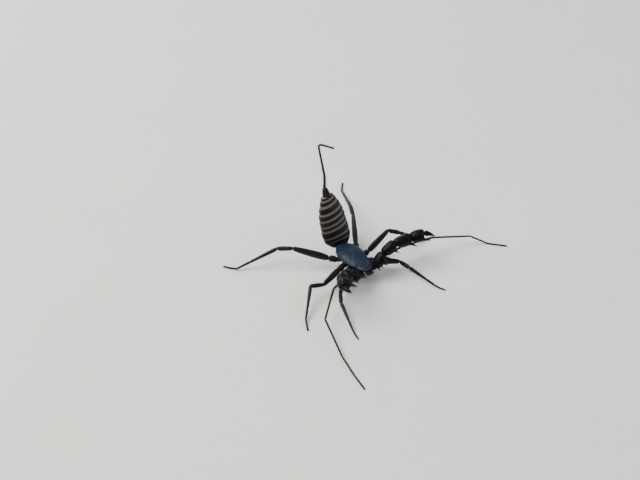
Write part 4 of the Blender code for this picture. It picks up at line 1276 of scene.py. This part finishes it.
def makeFeeler(letter, coat):
    side, path = sides[letter], feelerPath(letter)
    for name, segments in (("femur", (0, 1)), ("patella", (2,)), ("tibia", (3,)), ("tarsus", ())):
        shape = Shape()
        for k in segments:
            addSegment(shape, coat, path, k, 1, side, feeler, 80 if k else 40, 24, (k + 9.0, k))
        if name == "tarsus":
            addTarsus(shape, coat, path, feeler)
        piece = f"feeler{letter}{name.capitalize()}"
        makePiece(piece, shape, shells["feeler"], [f"feeler_{letter}_{name}"], 70)
    print("feeler made:", letter)


# underside

underside = {
    "surface": ((0.3, 0.015), (0.9, 0.03)),
    # breast plate and the plate behind it: from and to along the carapace, half width, height
    "plates": ((0.36, 0.52, 0.75, 2.72), (0.74, 0.9, 0.7, 2.78)),
    "thickness": 0.12,
}


def makeUnderside():
    shape = Shape()
    for side in sides.values():
        for number in leg["coxaStarts"]:
            path = [mirrored(leg[end][number], side) for end in ("coxaStarts", "hips")]
            grid, tone = segmentGrid(path, 0, leg["coxaProfile"], side, 46, 40)
            height = relief(grid, underside["surface"], (number, number))
            shape.addTube(swell(grid, height * (1 - tone[:, None])), tone=tone)
    thickness = underside["thickness"]
    across = np.linspace(-1, 1, 31)
    for low, high, halfWidth, level in underside["plates"]:
        shares = np.linspace(low, high, 26)[:, None]
        t = (shares - low) / (high - low)
        x = halfWidth * np.sin(math.pi * np.clip(t, 0.06, 0.94)) ** 0.6 * across
        y = np.broadcast_to(shieldFront + shares * shieldLength, x.shape)
        dome = (1 - np.abs(across) ** 3) * np.sin(math.pi * np.clip(t, 0.02, 0.98))
        lower = np.stack([x, y, level - thickness * dome], -1)
        shape.addPlate(lower, np.stack([x, y, np.full(x.shape, level + thickness)], -1), tone=0.2)
    makePiece("coxaeAndSternum", shape, shells["underside"], ["sternum_and_coxae"], 60)
    print("underside made")


# building it all

shieldTop = makeCarapace()
makeEyes()
makeUnderside()
makeTrunkSkin()
plateSurfaces = makeAbdomen()
tailGrid = makeTailEnd()
whipGrid = makeWhip()

palpCoat = Coat(16)
makePalps(palpCoat)
palpCoat.make("bristlesPincerArms", darkBristle)

jawCoat = Coat(4)
makeChelicerae(jawCoat)
jawCoat.make("bristlesChelicerae", redBristle)

legCoat = Coat(36)
for number in (2, 3, 4):
    for letter in sides:
        makeLeg(f"{letter}{number}", number, legCoat)
legCoat.make("bristlesLegs", darkBristle)
print("walking legs made")

feelerCoat = Coat(10)
for letter in sides:
    makeFeeler(letter, feelerCoat)
feelerCoat.make("bristlesFeelers", darkBristle)

trunkCoat = Coat(24)
trunkCoat.cover(shieldTop[4:-4, 8:-8], 260, 0.22, 0.008, 0.7, closed=False)
for surface, isBack in plateSurfaces:
    trunkCoat.cover(surface[3:-3, 4:-4], 110 if isBack else 90, 0.3, 0.008, 0.9, closed=False)
trunkCoat.cover(tailGrid, 120, 0.5, 0.011, 0.9)
trunkCoat.make("bristlesTrunk", darkBristle)

whipCoat = Coat(1)
whipCoat.cover(whipGrid, 1500, 0.6, 0.0095, 1.1, spread=0.3)
whipCoat.make("bristlesWhip", darkBristle)


# floor, lights and camera

studio = {
    "floorHalf": 2.2, "floorDark": (0.60, 0.595, 0.58), "floorLight": (0.66, 0.655, 0.64),
    "sky": (0.80, 0.86, 0.96), "skyStrength": 0.4,
    # place in metres from the animal, size, power in watts, colour
    "lamps": {"key": ((-0.35, 0.25, 0.60), 0.5, 10.5, (1.0, 0.98, 0.95)),
              "fill": ((0.45, -0.35, 0.40), 0.60, 3.0, (0.90, 0.95, 1.0)),
              "back": ((0.15, 0.60, 0.30), 0.40, 2.5, (0.93, 0.97, 1.0))},
    "azimuth": -37.0, "elevation": 43.0, "distance": 320.0, "lens": 60.0,
    "aim": (-5.93, 9.59, 8.89),              # in mm, in the animal's own frame
}


def makeFloor():
    finish = Finish("floor_paint")
    place = finish.where()
    broad = finish.cloud(place, 30.0, 4.0, 0.6)
    colour = finish.blend(broad, studio["floorDark"], studio["floorLight"])
    fine = finish.cloud(place, 900.0, 3.0, 0.6)
    normal = finish.bump(0.08, 0.0002, fine)
    finish.set(colour=colour, roughness=0.7 + fine * 0.1, normal=normal)
    mesh = bpy.data.meshes.new("floor")
    builder = bmesh.new()
    bmesh.ops.create_grid(builder, x_segments=12, y_segments=12, size=studio["floorHalf"])
    builder.to_mesh(mesh)
    builder.free()
    mesh.materials.append(finish.material)
    floor = addObject("floor", mesh)


def addAimed(name, data, place, back):
    # lamp or camera that looks opposite to back
    thing = addObject(name, data)
    thing.location = place
    thing.rotation_euler = (-Vector(back)).to_track_quat("-Z", "Y").to_euler()
    return thing


def makeLights():
    world = bpy.data.worlds.new("studio")
    bpy.context.scene.world = world
    world.use_nodes = True
    background = world.node_tree.nodes["Background"]
    background.inputs["Color"].default_value = (*studio["sky"], 1.0)
    background.inputs["Strength"].default_value = studio["skyStrength"]
    for name, (place, size, power, colour) in studio["lamps"].items():
        data = bpy.data.lights.new(name, "AREA")
        data.size, data.energy, data.color = size, power, colour
        addAimed(name, data, place, place)


def makeCamera():
    back = heading(studio["azimuth"], studio["elevation"])
    aim = np.array(studio["aim"]) * mm + origin
    data = bpy.data.cameras.new("camera")
    data.lens = studio["lens"]
    data.clip_start = 0.01
    camera = addAimed("camera", data, aim + back * studio["distance"] * mm, back)
    bpy.context.scene.camera = camera


makeFloor()
makeLights()
makeCamera()
print("studio made")
